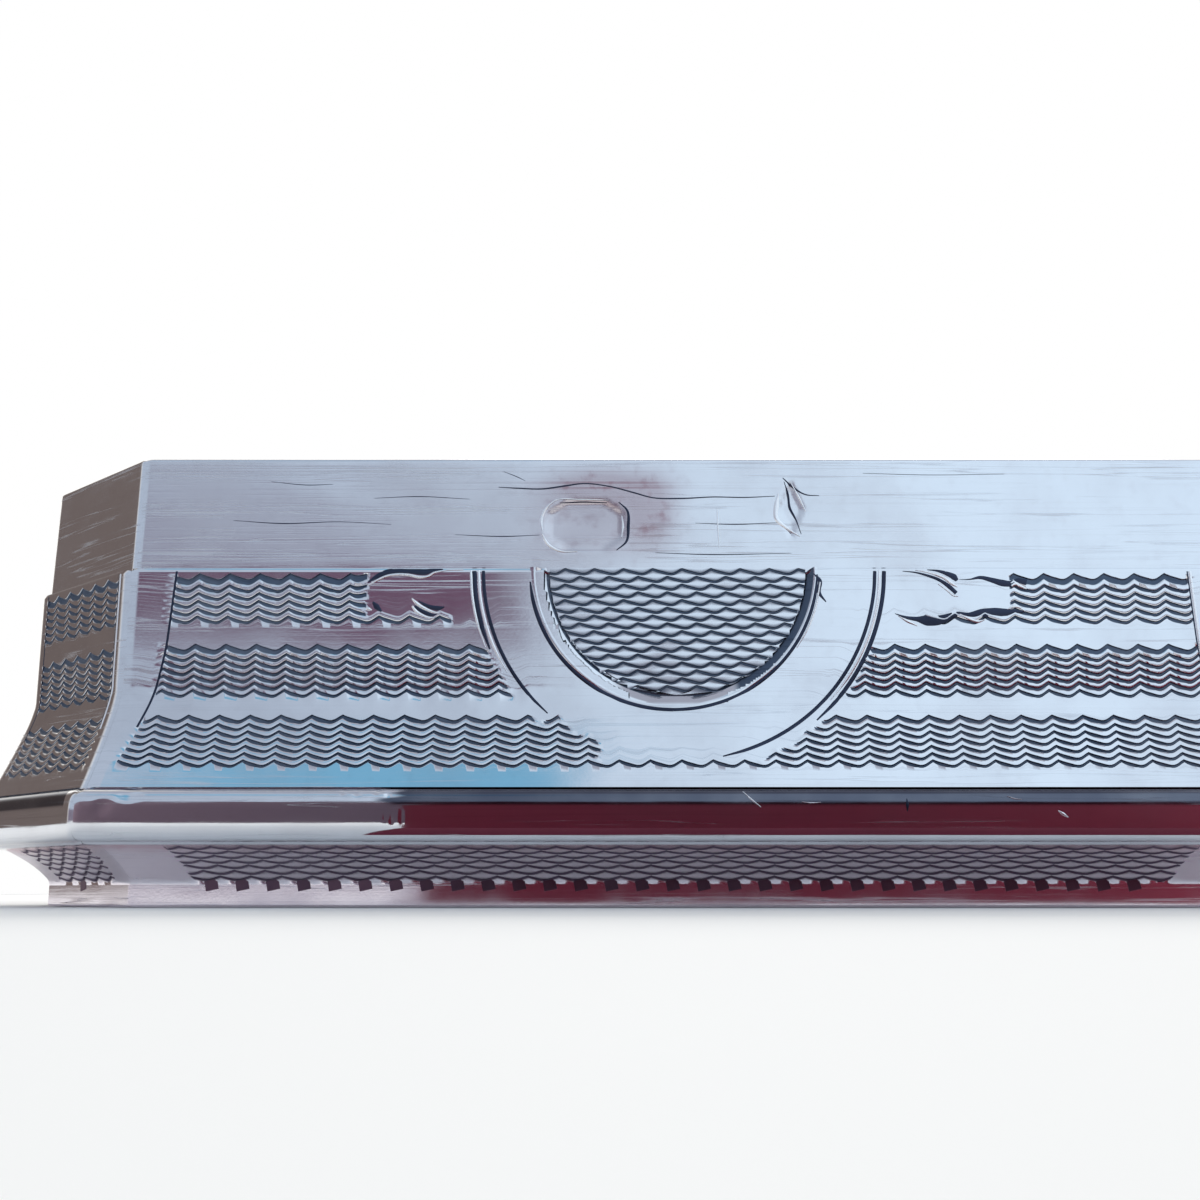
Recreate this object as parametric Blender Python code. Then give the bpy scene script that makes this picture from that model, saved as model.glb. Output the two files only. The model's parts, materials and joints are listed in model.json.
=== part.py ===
"""Silver pocket box with canted corners, shown open.

The base and the lid are the same flared tray, one the mirror of the other. Each is a raised panel, a
half-round wire and a waisted side wall, all mitred round one eight-sided plan. A bezel lines the base, and
the lid drops over it. A hinge of tube knuckles stands clear of the wires on two bearers, so the lid lies
back flat behind the base and rests on its own panel.

Metres. X runs along the front, Y from the front to the hinge, Z up. The origin is the middle of the base's
underside.
"""

import math

import bmesh
import bpy
from mathutils import Matrix

# Plan of the side walls at the waist, where they stand upright.
WAIST_WIDTH = 0.0626
WAIST_DEPTH = 0.0410
CANT_LEG = 0.0067

# Heights of one half, from the surface that it stands on up to the joint plane.
FOOT_HEIGHT = 0.0027
WIRE_HEIGHT = 0.0022
FLANK_HEIGHT = 0.0101

# Side wall.
WALL_SHEET = 0.0004
FLARE_REACH = 0.0016
FLARE_HEIGHT = 0.0046

# Half-round wire round the foot of the wall.
WIRE_REACH = 0.0006
WIRE_SEAT = 0.0014

# Raised panel: the base's underside and the lid's top.
PANEL_SHEET = 0.0006
PANEL_RIM = 0.0008
PANEL_RIM_REACH = 0.0008
PANEL_INSET = 0.00125
BORDER_HEIGHT = 0.0010
BORDER_RUN = 0.0001
COVE_SAG = 0.00022

# Bezel that lines the base and stands up into the lid.
BEZEL_HEIGHT = 0.0050
BEZEL_DEPTH = 0.0048
BEZEL_SHEET = 0.0005
BEZEL_ROUND = 0.00018

# Hinge.
HINGE_LENGTH = 0.0420
HINGE_CLEARANCE = 0.00035
KNUCKLE_RADIUS = 0.0011
KNUCKLE_GAP = 0.0003
PIN_RADIUS = 0.00045
PIN_CLEARANCE = 0.0001
PIN_DOME = 0.0001
BEARER_SHEET = 0.0005
BEARER_DROP = 0.0032

# Gap between pieces that are soldered or that close on each other.
SEAM = 0.0003

# Shares and counts that shape the curves.
FLARE_BEND_SHARE = 0.2
BEARER_TURN_SHARE = 0.5
FLARE_STEPS = 10
WIRE_STEPS = 12
COVE_STEPS = 6
CHANNEL_STEPS = 8
ROUND_STEPS = 32
EDGE_STEPS = 3
KNUCKLE_COUNT = 5
SHARP_ANGLE = math.radians(28)

# What follows from the sizes above.
MITRE_SHARE = math.tan(math.pi / 8)
WIRE_TOP = FOOT_HEIGHT + WIRE_HEIGHT
JOINT_Z = WIRE_TOP + FLANK_HEIGHT
WALL_TOP = JOINT_Z - SEAM / 2
BEZEL_INSET = WALL_SHEET + SEAM
HINGE_Y = WAIST_DEPTH / 2 + FLARE_REACH + WIRE_REACH + HINGE_CLEARANCE
SWING_REACH = HINGE_Y + WAIST_DEPTH / 2 - BEZEL_INSET
BEZEL_LEAN = BEZEL_HEIGHT**2 / (2 * SWING_REACH)
CHANNEL_RADIUS = KNUCKLE_RADIUS + SEAM
KNUCKLE_LENGTH = (HINGE_LENGTH - KNUCKLE_GAP * (KNUCKLE_COUNT - 1)) / KNUCKLE_COUNT

SILVER = (0.83, 0.83, 0.85, 1.0)
LINED_SILVER = (0.80, 0.81, 0.84, 1.0)
WORN_SILVER = (0.74, 0.73, 0.74, 1.0)
PIN_METAL = (0.62, 0.61, 0.60, 1.0)


def clear_scene():
    """Remove every object that the file opens with."""
    for obj in list(bpy.data.objects):
        bpy.data.objects.remove(obj, do_unlink=True)


def metal(name, colour, roughness):
    """A Principled metal of one colour."""
    material = bpy.data.materials.new(name)
    material.use_nodes = True
    shader = material.node_tree.nodes["Principled BSDF"]
    shader.inputs["Base Color"].default_value = colour
    shader.inputs["Roughness"].default_value = roughness
    shader.inputs["Metallic"].default_value = 1.0
    return material


def plan_outline(offset, centre_y):
    """The eight corners of the plan, moved out from the waist by offset, counter-clockwise."""
    side = WAIST_WIDTH / 2 + offset
    face = WAIST_DEPTH / 2 + offset
    along_face = WAIST_WIDTH / 2 - CANT_LEG + offset * MITRE_SHARE
    along_side = WAIST_DEPTH / 2 - CANT_LEG + offset * MITRE_SHARE
    corners = [
        (side, -along_side),
        (side, along_side),
        (along_face, face),
        (-along_face, face),
        (-side, along_side),
        (-side, -along_side),
        (-along_face, -face),
        (along_face, -face),
    ]
    return [(x, centre_y + y) for x, y in corners]


def finish_mesh(name, bm, material):
    """Turn the normals outwards and link the result as an object, smooth but for its sharp edges."""
    bmesh.ops.recalc_face_normals(bm, faces=bm.faces)
    mesh = bpy.data.meshes.new(name)
    bm.to_mesh(mesh)
    bm.free()
    mesh.materials.append(material)
    mesh.shade_smooth()
    mesh.set_sharp_from_angle(angle=SHARP_ANGLE)
    obj = bpy.data.objects.new(name, mesh)
    bpy.context.scene.collection.objects.link(obj)
    return obj


def join_rings(bm, rings):
    """Faces between each ring of points and the next."""
    for lower, upper in zip(rings, rings[1:]):
        for i, point in enumerate(lower):
            after = (i + 1) % len(lower)
            bm.faces.new((point, lower[after], upper[after], upper[i]))


def loft(name, stations, centre_y, material, closed):
    """A solid whose plan at each station (offset, height) is the outline at that offset.

    A closed loft runs round into its first station, as a wall does. An open one is capped at both ends.
    """
    bm = bmesh.new()
    rings = [
        [bm.verts.new((x, y, height)) for x, y in plan_outline(offset, centre_y)]
        for offset, height in stations
    ]
    if closed:
        join_rings(bm, rings + rings[:1])
    else:
        join_rings(bm, rings)
        bm.faces.new(rings[0])
        bm.faces.new(rings[-1])
    return finish_mesh(name, bm, material)


def prism(name, section, half_length, material):
    """A section in (y, z), extruded along X to both sides of the middle."""
    bm = bmesh.new()
    face = bm.faces.new([bm.verts.new((-half_length, y, z)) for y, z in section])
    grown = bmesh.ops.extrude_face_region(bm, geom=[face])["geom"]
    moved = [item for item in grown if isinstance(item, bmesh.types.BMVert)]
    bmesh.ops.translate(bm, verts=moved, vec=(half_length * 2, 0, 0))
    return finish_mesh(name, bm, material)


def turned(name, profile, closed, material):
    """A profile of (x, radius) points, spun about the hinge axis."""
    bm = bmesh.new()
    points = [bm.verts.new((x, HINGE_Y, JOINT_Z + radius)) for x, radius in profile]
    pairs = list(zip(points, points[1:]))
    if closed:
        pairs.append((points[-1], points[0]))
    edges = [bm.edges.new(pair) for pair in pairs]
    bmesh.ops.spin(
        bm,
        geom=points + edges,
        cent=(0, HINGE_Y, JOINT_Z),
        axis=(1, 0, 0),
        angle=math.tau,
        steps=ROUND_STEPS,
        use_merge=True,
    )
    bmesh.ops.remove_doubles(bm, verts=bm.verts, dist=PIN_RADIUS / ROUND_STEPS)
    return finish_mesh(name, bm, material)


def arc(centre, radii, start, end, steps):
    """Points on an arc about centre, with a radius for each axis."""
    turns = [start + (end - start) * i / steps for i in range(steps + 1)]
    return [(centre[0] + radii[0] * math.cos(t), centre[1] + radii[1] * math.sin(t)) for t in turns]


def flank_curve():
    """The wall's outer face from its mouth down: upright at first, then flared out to the wire."""
    low = WIRE_TOP + SEAM
    high = low + FLARE_HEIGHT
    bend = high - FLARE_HEIGHT * FLARE_BEND_SHARE
    points = [(0, WALL_TOP)]
    for i in range(FLARE_STEPS + 1):
        t = i / FLARE_STEPS
        height = (1 - t) ** 2 * high + 2 * t * (1 - t) * bend + t**2 * low
        points.append((FLARE_REACH * t**2, height))
    return points


def inside_of(curve, sheet):
    """The same curve moved inwards by the sheet's thickness, level with its own points."""
    inner = []
    for i, (offset, height) in enumerate(curve):
        before = curve[max(i - 1, 0)]
        after = curve[min(i + 1, len(curve) - 1)]
        slope = math.atan2(after[0] - before[0], before[1] - after[1])
        inner.append((offset - sheet / math.cos(slope), height))
    return inner


def add_wall(name, centre_y, material):
    """The waisted side wall."""
    outer = flank_curve()
    inner = inside_of(outer, WALL_SHEET)
    return loft(name, outer + inner[::-1], centre_y, material, closed=True)


def add_wire(name, centre_y, material):
    """The half-round wire that covers the seam between wall and panel."""
    middle = (FLARE_REACH, FOOT_HEIGHT + WIRE_HEIGHT / 2)
    radii = (WIRE_REACH, WIRE_HEIGHT / 2)
    round_face = arc(middle, radii, math.pi / 2, -math.pi / 2, WIRE_STEPS)
    seat = FLARE_REACH - WIRE_SEAT
    section = round_face + [(seat, FOOT_HEIGHT), (seat, WIRE_TOP)]
    return loft(name, section, centre_y, material, closed=True)


def panel_curve():
    """The raised panel's outer face: a plain upright border, then a shallow cove out to the rim."""
    foot = (-PANEL_INSET, 0)
    border = (-PANEL_INSET + BORDER_RUN, BORDER_HEIGHT)
    rim = (PANEL_RIM_REACH, FOOT_HEIGHT - SEAM)
    points = [foot, border]
    for i in range(1, COVE_STEPS + 1):
        t = i / COVE_STEPS
        sag = COVE_SAG * math.sin(math.pi * t)
        offset = border[0] + (rim[0] - border[0]) * t - sag
        points.append((offset, border[1] + (rim[1] - border[1]) * t))
    return points


def add_panel(name, centre_y, material):
    """The raised panel, a shallow tray of one thickness with a flat middle."""
    outer = panel_curve()
    floor_share = PANEL_SHEET / BORDER_HEIGHT
    floor_edge = -PANEL_INSET + BORDER_RUN * floor_share - PANEL_RIM
    inner = [(offset - PANEL_RIM, height) for offset, height in outer if height > PANEL_SHEET]
    stations = outer + inner[::-1] + [(floor_edge, PANEL_SHEET)]
    return loft(name, stations, centre_y, material, closed=False)


def add_bezel(name, material):
    """The lining that stands up out of the base, leaning in by what the lid's swing takes."""
    face = -BEZEL_INSET
    top = JOINT_Z + BEZEL_HEIGHT
    crown = (face - BEZEL_LEAN - BEZEL_ROUND, top - BEZEL_ROUND)
    back = face - BEZEL_LEAN - BEZEL_SHEET
    edge = arc(crown, (BEZEL_ROUND, BEZEL_ROUND), 0, math.pi / 2, EDGE_STEPS)
    section = [(face, JOINT_Z - BEZEL_DEPTH), (face, JOINT_Z)] + edge
    section += [(back, top), (back, JOINT_Z - BEZEL_DEPTH)]
    return loft(name, section, 0, material, closed=True)


def bearer_section():
    """The base's hinge bearer in (y, z): a bracket on the back wall, hollowed for the knuckles."""
    wall = WAIST_DEPTH / 2 + SEAM
    axis = (HINGE_Y, JOINT_Z)
    shell = CHANNEL_RADIUS + BEARER_SHEET
    lip = math.asin(SEAM / 2 / CHANNEL_RADIUS)
    tip = math.pi * 1.5 - math.asin(SEAM / CHANNEL_RADIUS)
    turn = math.pi * (1 + BEARER_TURN_SHARE / 2)
    channel = arc(axis, (CHANNEL_RADIUS, CHANNEL_RADIUS), math.pi + lip, tip, CHANNEL_STEPS)
    back = arc(axis, (shell, shell), tip, turn, CHANNEL_STEPS // 2)
    return [(wall, WALL_TOP)] + channel + back + [(wall, JOINT_Z - BEARER_DROP)]


def add_bearers(base_metal, lid_metal):
    """One bearer on the base and its mirror image on the lid."""
    section = bearer_section()
    half = HINGE_LENGTH / 2
    prism("base_hinge_bearer", section, half, base_metal)
    mirrored = [(HINGE_Y * 2 - y, z) for y, z in section]
    return prism("lid_hinge_bearer", mirrored, half, lid_metal)


def add_knuckle(name, place, material):
    """One length of hinge tube, at its place from the left."""
    start = -HINGE_LENGTH / 2 + place * (KNUCKLE_LENGTH + KNUCKLE_GAP)
    end = start + KNUCKLE_LENGTH
    bore = PIN_RADIUS + PIN_CLEARANCE
    section = [(start, bore), (start, KNUCKLE_RADIUS), (end, KNUCKLE_RADIUS), (end, bore)]
    return turned(name, section, True, material)


def add_pin(name, material):
    """The pin through all the knuckles, flush with the outer two and slightly domed."""
    end = HINGE_LENGTH / 2
    shoulder = end - PIN_DOME
    rim = PIN_RADIUS - PIN_DOME
    profile = [(-end, 0), (-end, rim), (-shoulder, PIN_RADIUS), (shoulder, PIN_RADIUS), (end, rim), (end, 0)]
    return turned(name, profile, False, material)


def hang_on_axis(pieces):
    """Parent the lid's pieces to an empty on the hinge axis."""
    axis = bpy.data.objects.new("lid_hinge_axis", None)
    axis.location = (0, HINGE_Y, JOINT_Z)
    bpy.context.scene.collection.objects.link(axis)
    for piece in pieces:
        piece.parent = axis
        piece.matrix_parent_inverse = Matrix.Translation(-axis.location)


def build():
    """Make every piece of the box."""
    clear_scene()
    flank = metal("engine_turned_silver", SILVER, 0.28)
    wire = metal("plain_wire_silver", SILVER, 0.16)
    panel = metal("panel_silver", SILVER, 0.24)
    lining = metal("bezel_silver", LINED_SILVER, 0.30)
    hinge = metal("hinge_silver", WORN_SILVER, 0.32)
    steel = metal("pin_metal", PIN_METAL, 0.35)

    add_panel("base_bottom", 0, panel)
    add_wire("base_wire", 0, wire)
    add_wall("base_wall", 0, flank)
    add_bezel("bezel", lining)
    add_pin("hinge_pin", steel)
    add_knuckle("base_knuckle_left", 0, hinge)
    add_knuckle("base_knuckle_middle", 2, hinge)
    add_knuckle("base_knuckle_right", 4, hinge)

    lid_centre = HINGE_Y * 2
    lid_pieces = [
        add_panel("lid_top", lid_centre, panel),
        add_wire("lid_wire", lid_centre, wire),
        add_wall("lid_wall", lid_centre, flank),
        add_bearers(hinge, hinge),
        add_knuckle("lid_knuckle_left", 1, hinge),
        add_knuckle("lid_knuckle_right", 3, hinge),
    ]
    hang_on_axis(lid_pieces)


build()
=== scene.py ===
"""Finish of an open, engine-turned silver pocket box with canted corners.

Every visible surface is cut as it would be on the bench: the waved bands and the scaled coves are real
grooves, the cartouche is a bevelled roundel in a plain ring, and the bezel carries its rubs and two blank
marks.
"""

from __future__ import annotations

import json
import logging
import math
from dataclasses import dataclass, field
from enum import Enum
from typing import Callable, ClassVar, Optional, Sequence, Union

import bmesh
import bpy
import numpy as np
from mathutils import Matrix, Vector


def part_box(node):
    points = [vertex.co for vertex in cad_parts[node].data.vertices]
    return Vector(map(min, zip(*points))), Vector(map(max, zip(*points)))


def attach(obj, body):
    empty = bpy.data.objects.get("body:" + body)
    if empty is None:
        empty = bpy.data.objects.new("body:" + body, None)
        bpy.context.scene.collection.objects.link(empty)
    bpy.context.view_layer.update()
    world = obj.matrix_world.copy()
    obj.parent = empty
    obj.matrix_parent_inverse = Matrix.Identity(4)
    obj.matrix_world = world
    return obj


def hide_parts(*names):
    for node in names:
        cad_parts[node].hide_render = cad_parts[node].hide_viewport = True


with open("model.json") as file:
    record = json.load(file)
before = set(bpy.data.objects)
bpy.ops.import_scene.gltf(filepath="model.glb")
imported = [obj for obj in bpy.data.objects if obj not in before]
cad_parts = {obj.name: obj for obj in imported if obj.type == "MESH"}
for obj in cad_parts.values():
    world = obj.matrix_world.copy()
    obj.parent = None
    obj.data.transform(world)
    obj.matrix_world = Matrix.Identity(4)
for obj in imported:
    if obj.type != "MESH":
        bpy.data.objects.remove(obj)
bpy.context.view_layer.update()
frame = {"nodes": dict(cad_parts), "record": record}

LOG = logging.getLogger("silver_box")
MITRE_SHARE = math.tan(math.pi / 8)
MILLIMETRE = 0.001
PER_MILLIMETRE = 1000.0
SHARP_EDGE = math.radians(32)
Points = np.ndarray
Colour = tuple[float, float, float, float]
Span = tuple[float, float]
Place = tuple[float, float, float]


class Half(Enum):
    """The two halves of the box, by the CAD body that carries them."""

    BASE = "base"
    LID = "lid"


class Side(Enum):
    """The eight facets of the plan, in steps of 45 degrees from the front."""

    FRONT = 0
    FRONT_RIGHT = 1
    RIGHT = 2
    BACK_RIGHT = 3
    BACK = 4
    BACK_LEFT = 5
    LEFT = 6
    FRONT_LEFT = 7

    @property
    def turn(self) -> float:
        """The angle from the front."""
        return math.pi / 4 * self.value

    @property
    def canted(self) -> bool:
        """Whether this is one of the four corner facets."""
        return self.value % 2 == 1


FRONT_SIDES = (Side.FRONT_LEFT, Side.FRONT, Side.FRONT_RIGHT)
REAR_SIDES = (Side.RIGHT, Side.BACK_RIGHT, Side.BACK, Side.BACK_LEFT, Side.LEFT)


# Node trees


def math_node(operation: str) -> Callable[..., Term]:
    """A method of Term that adds one Math node, on the value itself and then the others.

    Args:
        operation: which sum the Math node does.

    Returns:
        The method, which takes the value and the node's other inputs.
    """

    def apply(value: Term, *others: Input) -> Term:
        """Add the node to the value's graph."""
        inputs = dict(enumerate((value, *others)))
        return value.graph.out("ShaderNodeMath", inputs, operation=operation)

    return apply


class Term:
    """A node socket that Python's operators act on, each adding the Math node that it stands for."""

    def __init__(self, graph: Graph, socket: bpy.types.NodeSocket) -> None:
        """Wrap one output socket of a graph."""
        self.graph = graph
        self.socket = socket

    __add__ = __radd__ = math_node("ADD")
    __sub__ = math_node("SUBTRACT")
    __mul__ = __rmul__ = math_node("MULTIPLY")
    __truediv__ = math_node("DIVIDE")
    __pow__ = math_node("POWER")
    sin = math_node("SINE")
    cos = math_node("COSINE")
    root = math_node("SQRT")
    abs = math_node("ABSOLUTE")
    most = math_node("MAXIMUM")
    least = math_node("MINIMUM")

    def __rsub__(self, other: Input) -> Term:
        """Difference from a number."""
        return self.graph.out("ShaderNodeMath", {0: other, 1: self}, operation="SUBTRACT")

    def step(self, low: float, high: float) -> Term:
        """A smooth step from 0 at low to 1 at high."""
        inputs = {"Value": self, "From Min": low, "From Max": high}
        return self.graph.out("ShaderNodeMapRange", inputs, interpolation_type="SMOOTHSTEP")

    def between(self, first: Input, second: Input) -> Term:
        """A colour mixed from first to second by this value."""
        inputs = {0: self, 6: first, 7: second}
        return self.graph.out("ShaderNodeMix", inputs, output=2, data_type="RGBA", clamp_factor=True)


Input = Union[Term, float, Sequence[float], bpy.types.ID]


class Graph:
    """A node tree of any kind, with one method that makes its nodes."""

    def __init__(self, tree: bpy.types.NodeTree) -> None:
        """Start on an emptied tree."""
        self.tree = tree
        tree.nodes.clear()

    def node(self, kind: str, inputs: dict[Union[int, str], Input], **settings: object) -> bpy.types.Node:
        """Make a node.

        Args:
            kind: the node's type name.
            inputs: socket name or number to a value or a Term.
            settings: the node's own properties, set before its sockets.

        Returns:
            The new node.
        """
        made = self.tree.nodes.new(kind)
        for name, value in settings.items():
            setattr(made, name, value)
        for key, value in inputs.items():
            if isinstance(value, Term):
                self.tree.links.new(value.socket, made.inputs[key])
            else:
                made.inputs[key].default_value = value
        return made

    def out(self, kind: str, inputs: dict[Union[int, str], Input], output: Union[int, str] = 0,
            **settings: object) -> Term:
        """Make a node and return one of its outputs as a Term."""
        return Term(self, self.node(kind, inputs, **settings).outputs[output])

    def given(self) -> dict[str, Term]:
        """The tree's own inputs by name."""
        sockets = self.node("NodeGroupInput", {}).outputs
        return {socket.name: Term(self, socket) for socket in sockets if socket.name}

    def noise(self, where: Term, scale: float, detail: float) -> Term:
        """Noise with so many marks to the unit of the place."""
        inputs = {"Vector": where, "Scale": scale, "Detail": detail}
        return self.out("ShaderNodeTexNoise", inputs, output="Fac")

    def number(self, name: str) -> Term:
        """In a material, one number stored on the mesh."""
        return self.out("ShaderNodeAttribute", {}, output="Fac", attribute_name=name)

    def stored(self, name: str, kind: str = "FLOAT") -> Term:
        """In a geometry tree, one value stored on the mesh."""
        return self.out("GeometryNodeInputNamedAttribute", {"Name": name}, data_type=kind)

    def scaled(self, vector: Term, by: Input) -> Term:
        """A vector made longer or shorter."""
        return self.out("ShaderNodeVectorMath", {0: vector, "Scale": by}, operation="SCALE")


# Finishes


def open_material(name: str) -> tuple[bpy.types.Material, Graph, Term]:
    """A new material, its emptied graph and the object's own coordinates in it.

    Args:
        name: the material's name.

    Returns:
        The material, its graph and the coordinates.
    """
    made = bpy.data.materials.new(name)
    made.use_nodes = True
    graph = Graph(made.node_tree)
    return made, graph, graph.out("ShaderNodeTexCoord", {}, output="Object")


def close_material(graph: Graph, inputs: dict[str, Input]) -> None:
    """End a material with its shader."""
    shader = graph.out("ShaderNodeBsdfPrincipled", inputs)
    graph.node("ShaderNodeOutputMaterial", {"Surface": shader})


@dataclass(frozen=True)
class SilverFinish:
    """Silver as wear and air leave it.

    One attribute darkens the engraved grooves, and also darkens the wire's top and the right side of the
    roundel's bevel as painted shade. Another brings on a brown bloom, which on the cove just under the wire
    is a painted shade. Shares lie between 0 and 1. The brown's shares are those of grime, streaks and the
    brown by itself.
    """

    name: str
    metal: Colour = (0.82, 0.84, 0.88, 1.0)
    patina: Colour = (0.60, 0.585, 0.62, 1.0)
    # Brown of a bloom; on the cove it is the colour of the painted shade just under the wire.
    bloom: Colour = (0.30, 0.20, 0.22, 1.0)
    # Dark of tarnish in the grooves; on the wire's top and the bevel's right side it is painted shade.
    tarnish: Colour = (0.08, 0.115, 0.175, 1.0)
    smooth: float = 0.06
    dull: float = 0.11
    patina_share: float = 0.35
    streak_share: float = 0.16
    hair_share: float = 0.08
    streak_bump: float = 0.06
    swell_bump: float = 0.30
    cut_low: float = 0.05
    cut_high: float = 0.45
    cut_rough: float = 0.45
    grime_share: ClassVar[float] = 0.15
    bloom_shares: ClassVar[tuple[float, float, float]] = (0.4, 0.3, 0.6)
    cut_fill: ClassVar[float] = 0.97
    cut_fade: ClassVar[float] = 0.10
    fine_rough: ClassVar[float] = 0.03
    streak_rough: ClassVar[float] = 0.02
    hair_rough: ClassVar[float] = 0.2
    most_rough: ClassVar[float] = 0.7
    fine_depth: ClassVar[float] = 0.6
    hair_depth: ClassVar[float] = 0.8
    grain_depth: ClassVar[float] = 0.010

    def material(self) -> bpy.types.Material:
        """Build the node material and return it.

        Returns:
            The material.
        """
        made, graph, place = open_material(self.name)
        where = graph.scaled(place, PER_MILLIMETRE)
        cloud = graph.noise(where, scale=0.22, detail=4.0).step(0.40, 0.70)
        grime = graph.noise(where, scale=1.6, detail=5.0).step(0.48, 0.80)
        streaks = self._streaks(graph, along=0.06, across=7.0, detail=3.0).step(0.56, 0.74)
        fine = self._streaks(graph, along=0.16, across=22.0, detail=2.0).step(0.55, 0.72)
        hair = self._hair(graph, along=0.045, across=2.3, width=0.030)
        hair = hair + self._hair(graph, along=0.09, across=4.1, width=0.035)
        cut = graph.number("cut").step(self.cut_low, self.cut_high)
        wear = cloud * self.patina_share + grime * self.grime_share + streaks * self.streak_share
        worn = wear.least(1.0).between(self.metal, self.patina)
        scored = (hair * self.hair_share).least(1.0).between(worn, self.tarnish)
        # The brown mark: a real bloom on the bezel, a painted shade on the cove just under the wire.
        by_grime, by_streaks, by_itself = self.bloom_shares
        bloomed_and_shaded = graph.number("stain") * (grime * by_grime + streaks * by_streaks + by_itself)
        stained_and_shaded = bloomed_and_shaded.between(scored, self.bloom)
        # The dark mark: tarnish in the grooves, painted shade on the wire's top and on the bevel's right
        # side.
        colour = (cut * (self.cut_fill - cloud * self.cut_fade)).between(stained_and_shaded, self.tarnish)
        rough = cloud * (self.dull - self.smooth) + fine * self.fine_rough + streaks * self.streak_rough
        rough = rough + self.smooth
        rough = (rough + cut * self.cut_rough + hair * self.hair_rough).least(self.most_rough)
        swell = graph.noise(where, scale=0.30, detail=1.0) * self.swell_bump
        marks = streaks + fine * self.fine_depth + hair * self.hair_depth
        height = swell - marks * self.streak_bump * 0.1
        height = height + graph.noise(where, scale=9.0, detail=2.0) * self.grain_depth
        inputs = {"Height": height, "Strength": 0.35, "Distance": 0.0001}
        bump = graph.out("ShaderNodeBump", inputs, output="Normal")
        inputs = {"Base Color": colour, "Metallic": 1.0, "Roughness": rough, "Normal": bump}
        close_material(graph, inputs)
        return made

    @staticmethod
    def _strip_place(graph: Graph, along: float, across: float) -> Term:
        """A place on the strip, by the attributes along and down, drawn out along it.

        Args:
            graph: the material's graph.
            along: the pattern's scale along the strip.
            across: its scale down the strip.

        Returns:
            The place as a vector.
        """
        run = graph.number("along") * (PER_MILLIMETRE * along)
        fall = graph.number("down") * (PER_MILLIMETRE * across)
        return graph.out("ShaderNodeCombineXYZ", {"X": run, "Y": fall, "Z": along * 10.0})

    def _streaks(self, graph: Graph, along: float, across: float, detail: float) -> Term:
        """Rubbing marks that run along the strip."""
        return graph.noise(self._strip_place(graph, along, across), scale=1.0, detail=detail)

    def _hair(self, graph: Graph, along: float, across: float, width: float) -> Term:
        """Single long scratches, where a drawn-out noise passes through its middle.

        Args:
            graph: the material's graph.
            along: the pattern's scale along the strip.
            across: its scale down the strip.
            width: how wide a scratch is, as a share of the noise.

        Returns:
            1 on a scratch, 0 beside it.
        """
        place = self._strip_place(graph, along, across)
        line = 1.0 - (graph.noise(place, scale=1.0, detail=2.0) - 0.5).abs().step(0.0, width)
        return line * graph.noise(place, scale=0.6, detail=1.0).step(0.50, 0.62)


@dataclass(frozen=True)
class PlainFinish:
    """A matt stage finish of one colour, with a soft variation."""

    name: str
    colour: Colour
    shade: Colour
    rough: float = 0.9

    def material(self) -> bpy.types.Material:
        """Build the node material and return it.

        Returns:
            The material.
        """
        made, graph, place = open_material(self.name)
        cloud = graph.noise(place, scale=12.0, detail=2.0).step(0.3, 0.7)
        colour = cloud.between(self.colour, self.shade)
        close_material(graph, {"Base Color": colour, "Roughness": self.rough})
        return made


FLANK_SILVER = SilverFinish("engine_turned_silver")
# The tarnish colour of the wire also paints the shade on the wire's top.
WIRE_SILVER_SHADED = SilverFinish("plain_wire_silver", tarnish=(0.09, 0.10, 0.14, 1.0), smooth=0.05, dull=0.11,
                           patina_share=0.25, streak_share=0.3, swell_bump=0.8, cut_low=0.0, cut_high=0.9,
                           cut_rough=0.05)
# A lightened, pink-tinted copy of the silver for the cove and the flat, painted light where their own light
# leaves them dark; its bloom colour is the painted shade under the wire.
COVE_SILVER_LIGHTENED = SilverFinish("cove_silver", metal=(1.0, 0.94, 1.0, 1.0), patina=(0.84, 0.76, 0.84, 1.0),
                           tarnish=(0.13, 0.10, 0.15, 1.0), bloom=(0.78, 0.55, 0.60, 1.0), smooth=0.08,
                           dull=0.17, cut_low=0.10, cut_high=0.50)
BEZEL_SILVER = SilverFinish("bezel_silver", bloom=(0.36, 0.22, 0.25, 1.0), smooth=0.10, dull=0.22,
                            patina_share=0.20, streak_share=0.14, hair_share=0.13, streak_bump=0.30,
                            swell_bump=0.7)
HINGE_SILVER = SilverFinish("hinge_silver", metal=(0.74, 0.76, 0.79, 1.0), smooth=0.22, dull=0.40)
PIN_METAL = SilverFinish("pin_metal", metal=(0.55, 0.55, 0.56, 1.0), smooth=0.25, dull=0.45)
LINE_TARNISH = SilverFinish("cut_line_tarnish", metal=(0.045, 0.055, 0.09, 1.0),
                            patina=(0.03, 0.035, 0.06, 1.0), smooth=0.30, dull=0.5)
# Painted shadow: the dark colour of the blocks under the last row of scales.
SCALE_SHADOW_PAINT = SilverFinish("punched_mark_tarnish", metal=(0.16, 0.10, 0.14, 1.0),
                            patina=(0.09, 0.07, 0.11, 1.0), smooth=0.30, dull=0.5)
BURR_SILVER = SilverFinish("burr_silver", metal=(0.95, 0.96, 0.98, 1.0), patina=(0.85, 0.86, 0.90, 1.0),
                           smooth=0.25, dull=0.35, patina_share=0.1, streak_share=0.0, hair_share=0.0)


# Shapes


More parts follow.
